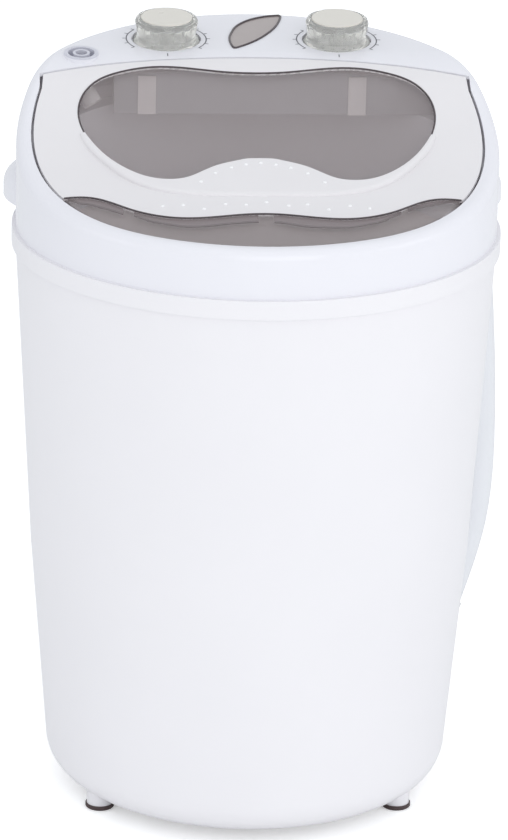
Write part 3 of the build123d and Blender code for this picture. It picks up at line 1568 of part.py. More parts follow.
corner_r = 170.5
wall_inner_r = 138.0
flange_r = 157.6
flange_thickness = 4.0
flange_radius = 16.0
collar_length = 3.0
corner_bend = 14.0
bore_wall = 2.5
hose_start = (176.9, 98.7)
hose_first = (199.5, 150.0)
spigot_share = 0.38
spigot_end = (
    hose_start[0] + spigot_share * (hose_first[0] - hose_start[0]),
    hose_start[1] + spigot_share * (hose_first[1] - hose_start[1]),
)
with BuildLine() as wall_path:
    FilletPolyline(
        drain_point(wall_inner_r, outlet_z),
        drain_point(corner_r, outlet_z),
        drain_point(*spigot_end),
        radius=corner_bend,
    )
with BuildPart() as wall_elbow:
    with BuildSketch(ring_plane(wall_inner_r, outlet_z, drain_out)):
        Circle(hose_bore)
    sweep(path=wall_path.line)
    with BuildSketch(ring_plane(wall_inner_r, outlet_z, drain_out)):
        Circle(spigot_radius)
    extrude(amount=flange_r + collar_length - wall_inner_r)
    with BuildSketch(ring_plane(flange_r, outlet_z, drain_out)):
        Circle(flange_radius)
    extrude(amount=flange_thickness)
    with BuildSketch(ring_plane(wall_inner_r, outlet_z, drain_out)):
        Circle(hose_bore - bore_wall)
    sweep(path=wall_path.line, mode=Mode.SUBTRACT)
    add(outer_casing.part, mode=Mode.SUBTRACT)
wall_elbow.part.label = "wall_elbow"
export_step(wall_elbow.part, "parts/wall_elbow.step")


def hose_point(radius, angle, height):
    """Point on the hose's run, given by its distance, bearing and height."""
    return Vector(*polar(radius, angle), height)


hose_bends = ((211.5, 29.8, 205.0), (213.8, 31.2, 280.0), (212.0, 32.7, 356.0), (207.5, 34.0, 424.0))
hose_bend_radius = 120.0
hose_run = [drain_point(*hose_start), drain_point(*hose_first)] + [hose_point(*bend) for bend in hose_bends]
with BuildLine() as hose_path:
    FilletPolyline(*hose_run, radius=hose_bend_radius)
with BuildPart() as drain_hose:
    first_run = hose_run[1] - hose_run[0]
    with BuildSketch(ring_plane(*hose_start, first_run)):
        Circle(hose_radius)
        Circle(hose_bore, mode=Mode.SUBTRACT)
    sweep(path=hose_path.line)
drain_hose.part.label = "drain_hose"
export_step(drain_hose.part, "parts/drain_hose.step")

last_run = hose_run[-1] - hose_run[-2]
hose_end = Plane(origin=hose_run[-1], z_dir=last_run)
nozzle_length = 18.0
nozzle_rim = 3.0
nozzle_tip = 9.0
nozzle_tip_taper = 8.0
nozzle_tip_step = 0.5
with BuildPart() as hose_nozzle:
    with BuildSketch(hose_end.offset(-nozzle_length)):
        Circle(hose_bore)
    extrude(amount=nozzle_length)
    with BuildSketch(hose_end):
        Circle(hose_radius)
    extrude(amount=nozzle_rim)
    with BuildSketch(hose_end.offset(nozzle_rim)):
        Circle(hose_bore + nozzle_tip_step)
    extrude(amount=nozzle_tip, taper=nozzle_tip_taper)
    with BuildSketch(hose_end.offset(-nozzle_length)):
        Circle(hose_bore - bore_wall)
    extrude(amount=span, mode=Mode.SUBTRACT)
hose_nozzle.part.label = "hose_nozzle"
export_step(hose_nozzle.part, "parts/hose_nozzle.step")

clamp_width = 7.0
clamp_band = 1.2
clamp_ear_width = 9.0
clamp_ear_height = 5.0
clamp_set_back = 9.0
upper_clamp_z = 136.0
hose_clamp_reach = 6.0
clamp_specs = (
    (ring_plane(outlet_r, upper_clamp_z, (0, 0, 1)), elbow_radius),
    (ring_plane(elbow_end_r - clamp_set_back, outlet_z, drain_out), elbow_radius),
    (Plane(origin=drain_point(*hose_start) + first_run.normalized() * hose_clamp_reach, z_dir=first_run), hose_radius),
)
with BuildPart() as hose_clamps:
    for place, radius in clamp_specs:
        with BuildSketch(place):
            Circle(radius + clamp_band)
            with Locations((0, radius + clamp_ear_height / 2)):
                Rectangle(clamp_ear_width, clamp_ear_height)
            Circle(radius, mode=Mode.SUBTRACT)
        extrude(amount=clamp_width)
hose_clamps.part.label = "hose_clamps"
export_step(hose_clamps.part, "parts/hose_clamps.step")

clip_low_z = 398.0
clip_height = 12.0
clip_share = (clip_low_z + clip_height / 2 - hose_run[-2].Z) / last_run.Z
clip_centre = hose_run[-2] + last_run * clip_share
clip_r = sqrt(clip_centre.X**2 + clip_centre.Y**2)
clip_out = Vector(clip_centre.X, clip_centre.Y, 0).normalized()
clip_foot_r = 177.0
clip_inner = hose_radius + 1.3
clip_outer = hose_radius + 3.7
clip_arm = 9.0
clip_foot_width = 18.0
clip_foot_depth = 5.0
clip_mouth_width = 22.0
clip_mouth_depth = 25.0
clip_mouth_r = 20.0
with BuildPart() as hose_clip:
    with BuildSketch(Plane(origin=(0, 0, clip_low_z), x_dir=clip_out, z_dir=(0, 0, 1))):
        with Locations(((clip_foot_r + clip_r - clip_inner) / 2, 0)):
            Rectangle(clip_r - clip_inner - clip_foot_r, clip_arm)
        with Locations((clip_foot_r + clip_foot_depth / 2, 0)):
            Rectangle(clip_foot_depth, clip_foot_width)
        with Locations((clip_r, 0)):
            Circle(clip_outer)
            Circle(clip_inner, mode=Mode.SUBTRACT)
        with Locations((clip_r + clip_mouth_r, 0)):
            Rectangle(clip_mouth_depth, clip_mouth_width, mode=Mode.SUBTRACT)
    extrude(amount=clip_height)
    add(outer_casing.part, mode=Mode.SUBTRACT)
hose_clip.part.label = "hose_clip"
export_step(hose_clip.part, "parts/hose_clip.step")

# Gland that the mains lead would come out of
gland_out = Vector(*polar(1, gland_angle), 0)
gland_washer_r = 150.5
gland_washer_radius = 9.0
gland_washer_thickness = 4.3
gland_neck_length = 10.0
gland_nut_r = 155.6
gland_nut_radius = 11.0
gland_nut_thickness = 4.5
gland_tip_r = 160.1
gland_tip_length = 8.0
gland_tip_taper = 10.0
gland_bore_r = 140.0


def gland_plane(radius):
    """Plane square to the gland's bore at this distance from the axis."""
    return Plane(origin=gland_out * radius + Vector(0, 0, gland_z), z_dir=gland_out)


with BuildPart() as cord_gland:
    with BuildSketch(gland_plane(gland_washer_r)):
        Circle(gland_washer_radius)
    extrude(amount=gland_washer_thickness)
    with BuildSketch(gland_plane(gland_washer_r)):
        Circle(gland_neck_radius)
    extrude(amount=gland_neck_length)
    with BuildSketch(gland_plane(gland_nut_r)):
        Circle(gland_nut_radius)
    extrude(amount=gland_nut_thickness)
    with BuildSketch(gland_plane(gland_tip_r)):
        Circle(gland_neck_radius)
    extrude(amount=gland_tip_length, taper=gland_tip_taper)
    with BuildSketch(gland_plane(gland_bore_r)):
        Circle(gland_bore)
    extrude(amount=span, mode=Mode.SUBTRACT)
    add(outer_casing.part, mode=Mode.SUBTRACT)
cord_gland.part.label = "cord_gland"
export_step(cord_gland.part, "parts/cord_gland.step")

# Wiring between the control tray and the motor, held at each shelf it passes
loom_top_z = 516.0
loom_bend_z = 424.0
loom_side_point = (158.5, 215.0)
loom_low_r = 152.0
loom_bend_radius = 10.0
loom_points = (
    (loom_r, loom_top_z), (loom_r, loom_bend_z), loom_side_point, (loom_low_r, block_z), (block_r, block_z),
)
with BuildLine() as loom_path:
    FilletPolyline(*[loom_out * radius + Vector(0, 0, height) for radius, height in loom_points], radius=loom_bend_radius)
with BuildPart() as wiring_loom:
    with BuildSketch(Plane(origin=loom_out * loom_r + Vector(0, 0, loom_top_z), z_dir=(0, 0, -1))):
        Circle(loom_radius)
    sweep(path=loom_path.line)
wiring_loom.part.label = "wiring_loom"
export_step(wiring_loom.part, "parts/wiring_loom.step")
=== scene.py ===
import bpy
import bmesh
import math
from mathutils import Matrix, Vector


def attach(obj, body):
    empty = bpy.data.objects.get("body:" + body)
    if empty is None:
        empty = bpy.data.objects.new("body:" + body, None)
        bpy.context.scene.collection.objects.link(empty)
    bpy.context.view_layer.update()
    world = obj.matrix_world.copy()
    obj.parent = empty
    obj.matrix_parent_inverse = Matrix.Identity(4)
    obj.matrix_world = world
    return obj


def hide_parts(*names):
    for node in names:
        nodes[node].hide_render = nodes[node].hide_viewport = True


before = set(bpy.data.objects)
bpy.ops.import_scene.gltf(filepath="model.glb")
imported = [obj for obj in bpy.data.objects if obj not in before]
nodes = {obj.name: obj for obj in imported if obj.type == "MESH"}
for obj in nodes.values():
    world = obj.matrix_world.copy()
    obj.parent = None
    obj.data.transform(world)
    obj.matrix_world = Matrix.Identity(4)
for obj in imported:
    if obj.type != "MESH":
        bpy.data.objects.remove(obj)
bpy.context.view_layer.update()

# Camera: a long lens a little left of the middle, looking down on the sloped lid,
# tipped slightly as the photograph is.
camera_azimuth = math.radians(-3.4)
camera_elevation = math.radians(19.86)
camera_roll = math.radians(1.33)
camera_distance = 4.0
camera_aim = Vector((0.0017, 0.0, 0.290))
camera_lens = 226.0
camera_back = Vector((
    math.sin(camera_azimuth) * math.cos(camera_elevation),
    -math.cos(camera_azimuth) * math.cos(camera_elevation),
    math.sin(camera_elevation),
))
level = Vector((math.cos(camera_azimuth), math.sin(camera_azimuth), 0.0))
upright = camera_back.cross(level)
sideways = level * math.cos(camera_roll) + upright * math.sin(camera_roll)
bpy.ops.object.camera_add()
camera = bpy.context.object
camera.name = "photo_camera"
camera.data.lens = camera_lens
camera.data.sensor_width = 36.0
camera.matrix_world = Matrix.Translation(camera_aim + camera_back * camera_distance) @ Matrix(
    (sideways, camera_back.cross(sideways), camera_back)).transposed().to_4x4()
bpy.context.scene.camera = camera

# Studio: a pale floor that runs out of sight, a white surround for the camera and the
# glossy parts, one broad overhead soft box and two weaker ones at the sides.
bpy.context.scene.view_settings.view_transform = "Standard"
surround = bpy.data.worlds.new("white_surround")
bpy.context.scene.world = surround
surround.use_nodes = True
surround_nodes = surround.node_tree.nodes
surround_links = surround.node_tree.links
surround_nodes.clear()
surround_out = surround_nodes.new("ShaderNodeOutputWorld")
surround_mix = surround_nodes.new("ShaderNodeMixShader")
surround_fill = surround_nodes.new("ShaderNodeBackground")
surround_fill.inputs["Color"].default_value = (0.94, 0.97, 1.0, 1.0)
surround_fill.inputs["Strength"].default_value = 0.80
surround_white = surround_nodes.new("ShaderNodeBackground")
surround_white.inputs["Color"].default_value = (1.0, 1.0, 1.0, 1.0)
surround_white.inputs["Strength"].default_value = 1.0
rays = surround_nodes.new("ShaderNodeLightPath")
seen_or_through = surround_nodes.new("ShaderNodeMath")
seen_or_through.operation = "MAXIMUM"
surround_links.new(rays.outputs["Is Camera Ray"], seen_or_through.inputs[0])
surround_links.new(rays.outputs["Is Transmission Ray"], seen_or_through.inputs[1])
surround_links.new(seen_or_through.outputs[0], surround_mix.inputs["Fac"])
surround_links.new(surround_fill.outputs[0], surround_mix.inputs[1])
surround_links.new(surround_white.outputs[0], surround_mix.inputs[2])
surround_links.new(surround_mix.outputs[0], surround_out.inputs["Surface"])

bpy.ops.mesh.primitive_plane_add(size=30.0, location=(0.0, 0.0, 0.0))
floor = bpy.context.object
floor.name = "studio_floor"
floor_paint = bpy.data.materials.new("studio_floor_paint")
floor_paint.use_nodes = True
floor_shader = floor_paint.node_tree.nodes["Principled BSDF"]
floor_shader.inputs["Base Color"].default_value = (0.97, 0.97, 0.97, 1.0)
floor_shader.inputs["Roughness"].default_value = 0.9
floor_shader.inputs["Specular IOR Level"].default_value = 0.1
floor_shader.inputs["Emission Color"].default_value = (1.0, 1.0, 1.0, 1.0)
floor_rays = floor_paint.node_tree.nodes.new("ShaderNodeLightPath")
floor_lift = floor_paint.node_tree.nodes.new("ShaderNodeMath")
floor_lift.operation = "MULTIPLY"
floor_lift.inputs[1].default_value = 0.34
floor_paint.node_tree.links.new(floor_rays.outputs["Is Camera Ray"], floor_lift.inputs[0])
floor_paint.node_tree.links.new(floor_lift.outputs[0], floor_shader.inputs["Emission Strength"])
floor.data.materials.append(floor_paint)

lamps = (
    ("overhead_box", (0.0, -0.3, 2.4), 2.6, 4.0),
    ("front_box", (0.5, -3.2, 1.5), 2.2, 22.0),
    ("left_box", (-2.6, -0.8, 1.2), 1.4, 3.0),
    ("right_box", (2.6, -0.8, 1.2), 1.4, 6.0),
)
for lamp_name, lamp_place, lamp_size, lamp_power in lamps:
    bpy.ops.object.light_add(type="AREA", location=lamp_place)
    lamp = bpy.context.object
    lamp.name = lamp_name
    lamp.data.size = lamp_size
    lamp.data.energy = lamp_power
    lamp.rotation_euler = (Vector((0.0, 0.0, 0.3)) - Vector(lamp_place)).to_track_quat("-Z", "Y").to_euler()


# Outer casing: one blow of white polypropylene, faintly see-through, with the slight
# mottle and orange peel of a moulded tub.
def moulded_group():
    """Colour mottle, roughness and fine height of a moulded plastic skin."""
    group = bpy.data.node_groups.new("moulded_skin", "ShaderNodeTree")
    for name, kind, value in (
        ("Color", "NodeSocketColor", (0.9, 0.9, 0.9, 1.0)),
        ("Mottle", "NodeSocketFloat", 0.02),
        ("Mottle Scale", "NodeSocketFloat", 18.0),
        ("Gloss Roughness", "NodeSocketFloat", 0.3),
        ("Peel Scale", "NodeSocketFloat", 900.0),
    ):
        socket = group.interface.new_socket(name, in_out="INPUT", socket_type=kind)
        socket.default_value = value
    group.interface.new_socket("Color", in_out="OUTPUT", socket_type="NodeSocketColor")
    group.interface.new_socket("Roughness", in_out="OUTPUT", socket_type="NodeSocketFloat")
    group.interface.new_socket("Height", in_out="OUTPUT", socket_type="NodeSocketFloat")
    inside = group.nodes
    link = group.links.new
    given = inside.new("NodeGroupInput")
    put = inside.new("NodeGroupOutput")
    place = inside.new("ShaderNodeTexCoord")
    clouds = inside.new("ShaderNodeTexNoise")
    clouds.inputs["Detail"].default_value = 3.0
    link(place.outputs["Object"], clouds.inputs["Vector"])
    link(given.outputs["Mottle Scale"], clouds.inputs["Scale"])
    centred = inside.new("ShaderNodeMath")
    centred.operation = "SUBTRACT"
    centred.inputs[1].default_value = 0.5
    link(clouds.outputs["Fac"], centred.inputs[0])
    amount = inside.new("ShaderNodeMath")
    amount.operation = "MULTIPLY_ADD"
    amount.inputs[2].default_value = 1.0
    link(centred.outputs[0], amount.inputs[0])
    link(given.outputs["Mottle"], amount.inputs[1])
    tinted = inside.new("ShaderNodeVectorMath")
    tinted.operation = "SCALE"
    link(given.outputs["Color"], tinted.inputs[0])
    link(amount.outputs[0], tinted.inputs["Scale"])
    link(tinted.outputs["Vector"], put.inputs["Color"])
    rough = inside.new("ShaderNodeMath")
    rough.operation = "MULTIPLY_ADD"
    rough.inputs[1].default_value = 0.12
    link(centred.outputs[0], rough.inputs[0])
    link(given.outputs["Gloss Roughness"], rough.inputs[2])
    link(rough.outputs[0], put.inputs["Roughness"])
    peel = inside.new("ShaderNodeTexNoise")
    peel.inputs["Detail"].default_value = 1.0
    link(place.outputs["Object"], peel.inputs["Vector"])
    link(given.outputs["Peel Scale"], peel.inputs["Scale"])
    link(peel.outputs["Fac"], put.inputs["Height"])
    return group


moulded_skin = moulded_group()


def moulded(name, color, roughness=0.3, mottle=0.03, scale=18.0, peel=400.0, bump=0.008, bump_depth=0.0002):
    """A moulded plastic finish in this colour."""
    paint = bpy.data.materials.new(name)
    paint.use_nodes = True
    tree = paint.node_tree
    shader = tree.nodes["Principled BSDF"]
    skin = tree.nodes.new("ShaderNodeGroup")
    skin.node_tree = moulded_skin
    skin.inputs["Color"].default_value = (*color, 1.0)
    skin.inputs["Mottle"].default_value = mottle
    skin.inputs["Mottle Scale"].default_value = scale
    skin.inputs["Gloss Roughness"].default_value = roughness
    skin.inputs["Peel Scale"].default_value = peel
    tree.links.new(skin.outputs["Color"], shader.inputs["Base Color"])
    tree.links.new(skin.outputs["Roughness"], shader.inputs["Roughness"])
    relief = tree.nodes.new("ShaderNodeBump")
    relief.inputs["Strength"].default_value = bump
    relief.inputs["Distance"].default_value = bump_depth
    tree.links.new(skin.outputs["Height"], relief.inputs["Height"])
    tree.links.new(relief.outputs["Normal"], shader.inputs["Normal"])
    return paint


def dress(paint, *names):
    """Gives these CAD pieces a finish."""
    for name in names:
        for place in nodes[name].material_slots:
            place.material = paint


casing_white = moulded("casing_white", (0.87, 0.855, 0.88), roughness=0.32, mottle=0.04, scale=9.0)
dress(casing_white, "outer_casing")

# Top frame: glossy white moulding that makes the collar, the control deck and the grips.
frame_white = moulded("frame_white", (0.845, 0.84, 0.885), roughness=0.22, mottle=0.02)
dress(frame_white, "top_frame")

# Lid cover: the same white with a pearl flake, a little greyer than the frame round it.
cover_pearl = moulded("cover_pearl", (0.82, 0.80, 0.815), roughness=0.36, mottle=0.03, scale=30.0, bump=0.0)
dress(cover_pearl, "lid_cover")

# Grip dots: small raised beads in a row along the cover's band and along the window's lip.
band_dots = ((-74, -92), (-59, -90), (-44, -96), (-28, -88), (-13, -89), (2, -85), (18, -90), (32, -88),
             (47, -96), (63, -90), (77, -94))
lip_dots = ((-45, -62), (-34, -51), (-22, -44), (-11, -40), (0, -38), (11, -40), (22, -44), (34, -51), (46, -62))


def landing(node, x, y):
    """Where a line straight down meets this CAD piece, and the skin's normal there."""
    found, place, normal, face = nodes[node].ray_cast(Vector((x, y, 1.0)), Vector((0.0, 0.0, -1.0)))
    return place, normal


dot_white = moulded("dot_white", (0.95, 0.95, 0.96), roughness=0.1)
dots = []
for x, y in band_dots + lip_dots:
    place, normal = landing("lid_cover", x / 1000, y / 1000)
    if not dots:
        bpy.ops.mesh.primitive_uv_sphere_add(segments=20, ring_count=10, radius=0.0016)
        dot = bpy.context.object
        bpy.ops.object.shade_smooth()
    else:
        dot = dots[0].copy()
        dot.data = dots[0].data.copy()
        bpy.context.scene.collection.objects.link(dot)
    turn = normal.to_track_quat("Z", "Y").to_matrix().to_4x4()
    dot.matrix_world = Matrix.Translation(place) @ turn @ Matrix.Diagonal((1.0, 1.0, 0.55, 1.0))
    dots.append(dot)
bpy.ops.object.select_all(action="DESELECT")
for dot in dots:
    dot.select_set(True)
bpy.context.view_layer.objects.active = dots[0]
bpy.ops.object.join()
bpy.ops.object.transform_apply(location=True, rotation=True, scale=True)
cover_dots = bpy.context.object
cover_dots.name = "cover_grip_dots"
cover_dots.data.materials.append(dot_white)
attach(cover_dots, "lid")

# Lid base and deck lens: smoky see-through styrene.
smoky = moulded("smoky_styrene", (0.60, 0.52, 0.515), roughness=0.06, mottle=0.05)
smoky_shader = smoky.node_tree.nodes["Principled BSDF"]
smoky_shader.inputs["Alpha"].default_value = 0.22
dress(smoky, "lid_base")
lens_grey = moulded("lens_grey", (0.42, 0.37, 0.36), roughness=0.12, mottle=0.08, scale=60.0)
dress(lens_grey, "panel_lens")

# Painted shade at the edges of the smoky plastic: where it turns up at the window, at the cover's wavy front
# and round the lens it is seen edge on and looks nearly black, and thin dark beads laid there paint that
# darkness and the shadow in the gap.
smoky_edge_shade = moulded("smoky_edge_shade", (0.075, 0.058, 0.065), roughness=0.2)


def edge_between(node, covered, bare):
    """Where this CAD piece ends between a covered point of the plan and a bare one, in metres."""
    for step in range(16):
        middle = (covered + bare) / 2
        if nodes[node].ray_cast(Vector((middle.x, middle.y, 1.0)), Vector((0.0, 0.0, -1.0)))[0]:
            covered = middle
        else:
            bare = middle
    return covered


def shade_bead(name, carrier, path, thickness, closed, body):
    """A thin dark bead of painted shade lying on its carrier along these points of the plan."""
    line = bpy.data.curves.new(name, "CURVE")
    line.dimensions = "3D"
    run = line.splines.new("POLY")
    run.points.add(len(path) - 1)
    for point, (x, y) in zip(run.points, path):
        place, normal = landing(carrier, x, y)
        point.co = (*(place + normal * thickness * 0.3), 1.0)
    run.use_cyclic_u = closed
    line.bevel_depth = thickness
    line.bevel_resolution = 3
    line.materials.append(smoky_edge_shade)
    bead = bpy.data.objects.new(name, line)
    bpy.context.scene.collection.objects.link(bead)
    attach(bead, body)


window_middle = Vector((0.0, 0.018))
window_edge = []
for step in range(180):
    away = Vector((math.cos(math.tau * step / 180), math.sin(math.tau * step / 180)))
    reach = 0.030
    while not nodes["lid_cover"].ray_cast((*(window_middle + away * reach), 1.0), Vector((0.0, 0.0, -1.0)))[0]:
        reach += 0.003
    edge = edge_between("lid_cover", window_middle + away * reach, window_middle + away * (reach - 0.003))
    window_edge.append(edge - away * 0.0006)
shade_bead("window_rim_shade", "lid_base", window_edge, 0.0007, True, "lid")

front_edge = []
for step in range(121):
    x = -0.1455 + 0.291 * step / 120
    edge = edge_between("lid_cover", Vector((x, -0.07)), Vector((x, -0.14)))
    front_edge.append(edge - Vector((0.0, 0.0006)))
shade_bead("front_rim_shade", "lid_base", front_edge, 0.0007, False, "lid")

lens_middle = Vector((0.003, 0.134))
lens_edge = []
for step in range(120):
    away = Vector((math.cos(math.tau * step / 120), math.sin(math.tau * step / 120)))
    edge = edge_between("panel_lens", lens_middle, lens_middle + away * 0.05)
    lens_edge.append(edge - away * 0.0009)
shade_bead("lens_rim_shade", "panel_lens", lens_edge, 0.0009, True, "machine")

# Painted shadow under the lid's front strip: four dark curved bars seen through the smoky plastic, each a
# flat web that runs from the cover's wavy edge out to a rounded foot. The web is painted shadow of the cover's
# wavy wall; the foot is the dark edge line of a rib beneath.
wall_shadow_dark = moulded("wall_shadow_dark", (0.17, 0.135, 0.145), roughness=0.3)
rib_runs = (((-143, 3.0), (-131, 9.0), (-117, 11.0), (-103, 10.5)),
            ((-95, 7.0), (-80, 10.5), (-52, 14.0), (-28, 12.5), (-5, 12.0)),
            ((6.5, 12.5), (30, 16.0), (56, 14.0), (80, 10.0), (100, 4.5)),
            ((105, 4.5), (122, 6.5), (144, 2.0)))
rib_shadow_plates = bmesh.new()
for rib_run in rib_runs:
    columns = []
    for (x0, out0), (x1, out1) in zip(rib_run, rib_run[1:]):
        for step in range(13):
            share = step / 12
            x = (x0 + (x1 - x0) * share) / 1000
            reach = out0 + (out1 - out0) * (3 * share ** 2 - 2 * share ** 3)
            edge = edge_between("lid_cover", Vector((x, -0.07)), Vector((x, -0.14)))
            column = []
            for depth in (0.8, reach - 2.4, reach):
                place, normal = landing("lid_base", x, edge.y - depth / 1000)
                column.append(rib_shadow_plates.verts.new(place - Vector((0.0, 0.0, 0.0009))))
            columns.append(column)
    for first, second in zip(columns, columns[1:]):
        for low, high in ((0, 1), (1, 2)):
            face = rib_shadow_plates.faces.new((first[low], first[high], second[high], second[low]))
            # Index 0, the web, takes the painted shadow; index 1, the foot, takes the dark edge line.
            face.material_index = low
rib_shadow_mesh = bpy.data.meshes.new("lid_front_rib_shadow")
rib_shadow_plates.to_mesh(rib_shadow_mesh)
rib_shadow_plates.free()
lid_rib_shadow = bpy.data.objects.new("lid_front_rib_shadow", rib_shadow_mesh)
bpy.context.scene.collection.objects.link(lid_rib_shadow)
rib_shadow_mesh.materials.append(wall_shadow_dark)
rib_shadow_mesh.materials.append(smoky_edge_shade)
bpy.context.view_layer.objects.active = lid_rib_shadow
thicken = lid_rib_shadow.modifiers.new("thicken", "SOLIDIFY")
thicken.thickness = 0.0006
bpy.ops.object.modifier_apply(modifier="thicken")
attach(lid_rib_shadow, "lid")

# Wash tub, tray, spout and cover: plain white and pale grey mouldings.
tub_white = moulded("tub_white", (0.92, 0.87, 0.87), roughness=0.35)
dress(tub_white, "wash_tub")
tray_white = moulded("tray_white", (0.82, 0.80, 0.80), roughness=0.4)
dress(tray_white, "inlet_spout", "base_cover", "terminal_block")

# Control tray: painted shade, grey for the shade under the deck behind the window, with the fronts of its two
# posts painted paler where light reaches them. The mask reads how far each point stands from the middle of the
# nearer post, 80 mm out, and whether it is on the posts' front.
tray_painted_shade = moulded("tray_painted_shade", (0.47, 0.47, 0.50), roughness=0.4)
tray_tree = tray_painted_shade.node_tree
tray_place = tray_tree.nodes.new("ShaderNodeTexCoord")
tray_axes = tray_tree.nodes.new("ShaderNodeSeparateXYZ")
tray_tree.links.new(tray_place.outputs["Object"], tray_axes.inputs[0])
post_steps = []
for operation, value in (("ABSOLUTE", 0.0), ("SUBTRACT", 0.080), ("ABSOLUTE", 0.0), ("LESS_THAN", 0.0072)):
    step = tray_tree.nodes.new("ShaderNodeMath")
    step.operation = operation
    step.inputs[1].default_value = value
    tray_tree.links.new(post_steps[-1].outputs[0] if post_steps else tray_axes.outputs["X"], step.inputs[0])
    post_steps.append(step)
post_front = tray_tree.nodes.new("ShaderNodeMath")
post_front.operation = "LESS_THAN"
post_front.inputs[1].default_value = 0.0925
tray_tree.links.new(tray_axes.outputs["Y"], post_front.inputs[0])
lit_post_mask = tray_tree.nodes.new("ShaderNodeMath")
lit_post_mask.operation = "MULTIPLY"
tray_tree.links.new(post_steps[-1].outputs[0], lit_post_mask.inputs[0])
tray_tree.links.new(post_front.outputs[0], lit_post_mask.inputs[1])
# Painted light: the posts' fronts are painted pale; the rest of the tray stays painted grey shade.
lit_post_tint = tray_tree.nodes.new("ShaderNodeMix")
lit_post_tint.data_type = "RGBA"
lit_post_tint.inputs["B"].default_value = (0.95, 0.90, 0.90, 1.0)
tray_shader = tray_tree.nodes["Principled BSDF"]
tray_tree.links.new(lit_post_mask.outputs[0], lit_post_tint.inputs["Factor"])
tray_tree.links.new(tray_shader.inputs["Base Color"].links[0].from_socket, lit_post_tint.inputs["A"])
tray_tree.links.new(lit_post_tint.outputs["Result"], tray_shader.inputs["Base Color"])
dress(tray_painted_shade, "control_tray")
pulsator_blue = moulded("pulsator_blue", (0.62, 0.64, 0.70), roughness=0.25)
dress(pulsator_blue, "pulsator", "pulsator_cap", "drain_grating")

# Knobs: clear fluted acrylic with an ivory disc let into the top.
knob_clear = moulded("knob_clear", (0.99, 0.99, 0.96), roughness=0.03, mottle=0.0)
knob_shader = knob_clear.node_tree.nodes["Principled BSDF"]
knob_shader.inputs["Transmission Weight"].default_value = 0.74
knob_shader.inputs["IOR"].default_value = 1.49
dress(knob_clear, "knob_left", "knob_right")
cap_ivory = moulded("cap_ivory", (0.75, 0.72, 0.66), roughness=0.3, mottle=0.03, scale=60.0)
dress(cap_ivory, "knob_cap_left", "knob_cap_right")

# Dial marks: thin dark arcs and ticks printed on the deck beside each knob, with no words.
print_grey = moulded("print_grey", (0.12, 0.12, 0.14), roughness=0.6, mottle=0.1)
marks = bmesh.new()


def printed(path, width):
    """Lays a thin line of print along these points of the deck, in millimetres."""
    rows = []
    for index, (x, y) in enumerate(path):
        before, after = path[max(index - 1, 0)], path[min(index + 1, len(path) - 1)]
        along = Vector((after[0] - before[0], after[1] - before[1])).normalized()
        row = []
        for side in (-1, 1):
            place, normal = landing("top_frame", (x - side * along.y * width / 2) / 1000,
                                    (y + side * along.x * width / 2) / 1000)
            row.append(marks.verts.new(place + normal * 0.00006))
        rows.append(row)
    for first, second in zip(rows, rows[1:]):
        marks.faces.new((first[0], first[1], second[1], second[0]))


for knob_x in (-65.0, 65.0):
    for low, high in ((-38, 40), (142, 216)):
        ring = [math.radians(low + (high - low) * step / 24) for step in range(25)]
        printed([(knob_x + 30.5 * math.cos(turn), 118.5 + 30.5 * math.sin(turn)) for turn in ring], 0.9)
        for turn in ring[::6]:
            printed([(knob_x + reach * math.cos(turn), 118.5 + reach * math.sin(turn))
                     for reach in (30.5, 32.0, 33.5)], 0.9)
    printed([(knob_x, 118.5 - reach) for reach in (30.0, 32.0, 34.5)], 0.8)
for face in marks.faces:
    if face.normal.z < 0.0:
        face.normal_flip()
marks_mesh = bpy.data.meshes.new("dial_marks")
marks.to_mesh(marks_mesh)
marks.free()
dial_marks = bpy.data.objects.new("dial_marks", marks_mesh)
bpy.context.scene.collection.objects.link(dial_marks)
marks_mesh.materials.append(print_grey)
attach(dial_marks, "machine")

# Water inlet: a bluish grey ring pressed into the deck.
inlet_blue = moulded("inlet_blue", (0.66, 0.66, 0.73), roughness=0.45)
dress(inlet_blue, "inlet_cup")

# Inside and underneath: dark timers, rubber, cast alloy, plated steel and copper, which the shaft bushes take
# too.
timer_black = moulded("timer_black", (0.03, 0.03, 0.033), roughness=0.5)
dress(timer_black, "timer_left", "timer_right")
fitting_grey = moulded("fitting_grey", (0.62, 0.63, 0.66), roughness=0.4)
dress(fitting_grey, "wall_elbow", "hose_nozzle", "hose_clip", "driven_pulley", "motor_pulley")
pad_rubber = moulded("pad_rubber", (0.075, 0.05, 0.05), roughness=0.7, mottle=0.2, bump=0.2)
dress(pad_rubber, "foot_pads", "tub_gasket", "motor_mounts", "drain_elbow", "shaft_seal", "lid_bumpers",
      "drive_belt", "cord_gland")
plated_steel = moulded("plated_steel", (0.60, 0.60, 0.61), roughness=0.3, mottle=0.1, scale=60.0)
plated_steel.node_tree.nodes["Principled BSDF"].inputs["Metallic"].default_value = 1.0
dress(plated_steel, "base_screws", "frame_screws", "plate_screws", "housing_screws", "motor_screws",
      "timer_screws", "pulsator_screw", "shaft_clip", "neck_nut", "neck_washer", "hose_clamps",
      "capacitor_strap", "drive_plate", "pulsator_shaft", "motor_shaft", "timer_shaft_left",
      "timer_shaft_right")
cast_alloy = moulded("cast_alloy", (0.50, 0.51, 0.52), roughness=0.45, mottle=0.15, scale=80.0, bump=0.3)
cast_alloy.node_tree.nodes["Principled BSDF"].inputs["Metallic"].default_value = 1.0
dress(cast_alloy, "bearing_housing", "motor_cap_lower", "motor_cap_upper", "capacitor", "motor_stator",
      "motor_rotor")
winding_copper = moulded("winding_copper", (0.60, 0.25, 0.12), roughness=0.35)
winding_copper.node_tree.nodes["Principled BSDF"].inputs["Metallic"].default_value = 1.0
dress(winding_copper, "stator_windings", "shaft_bushes")

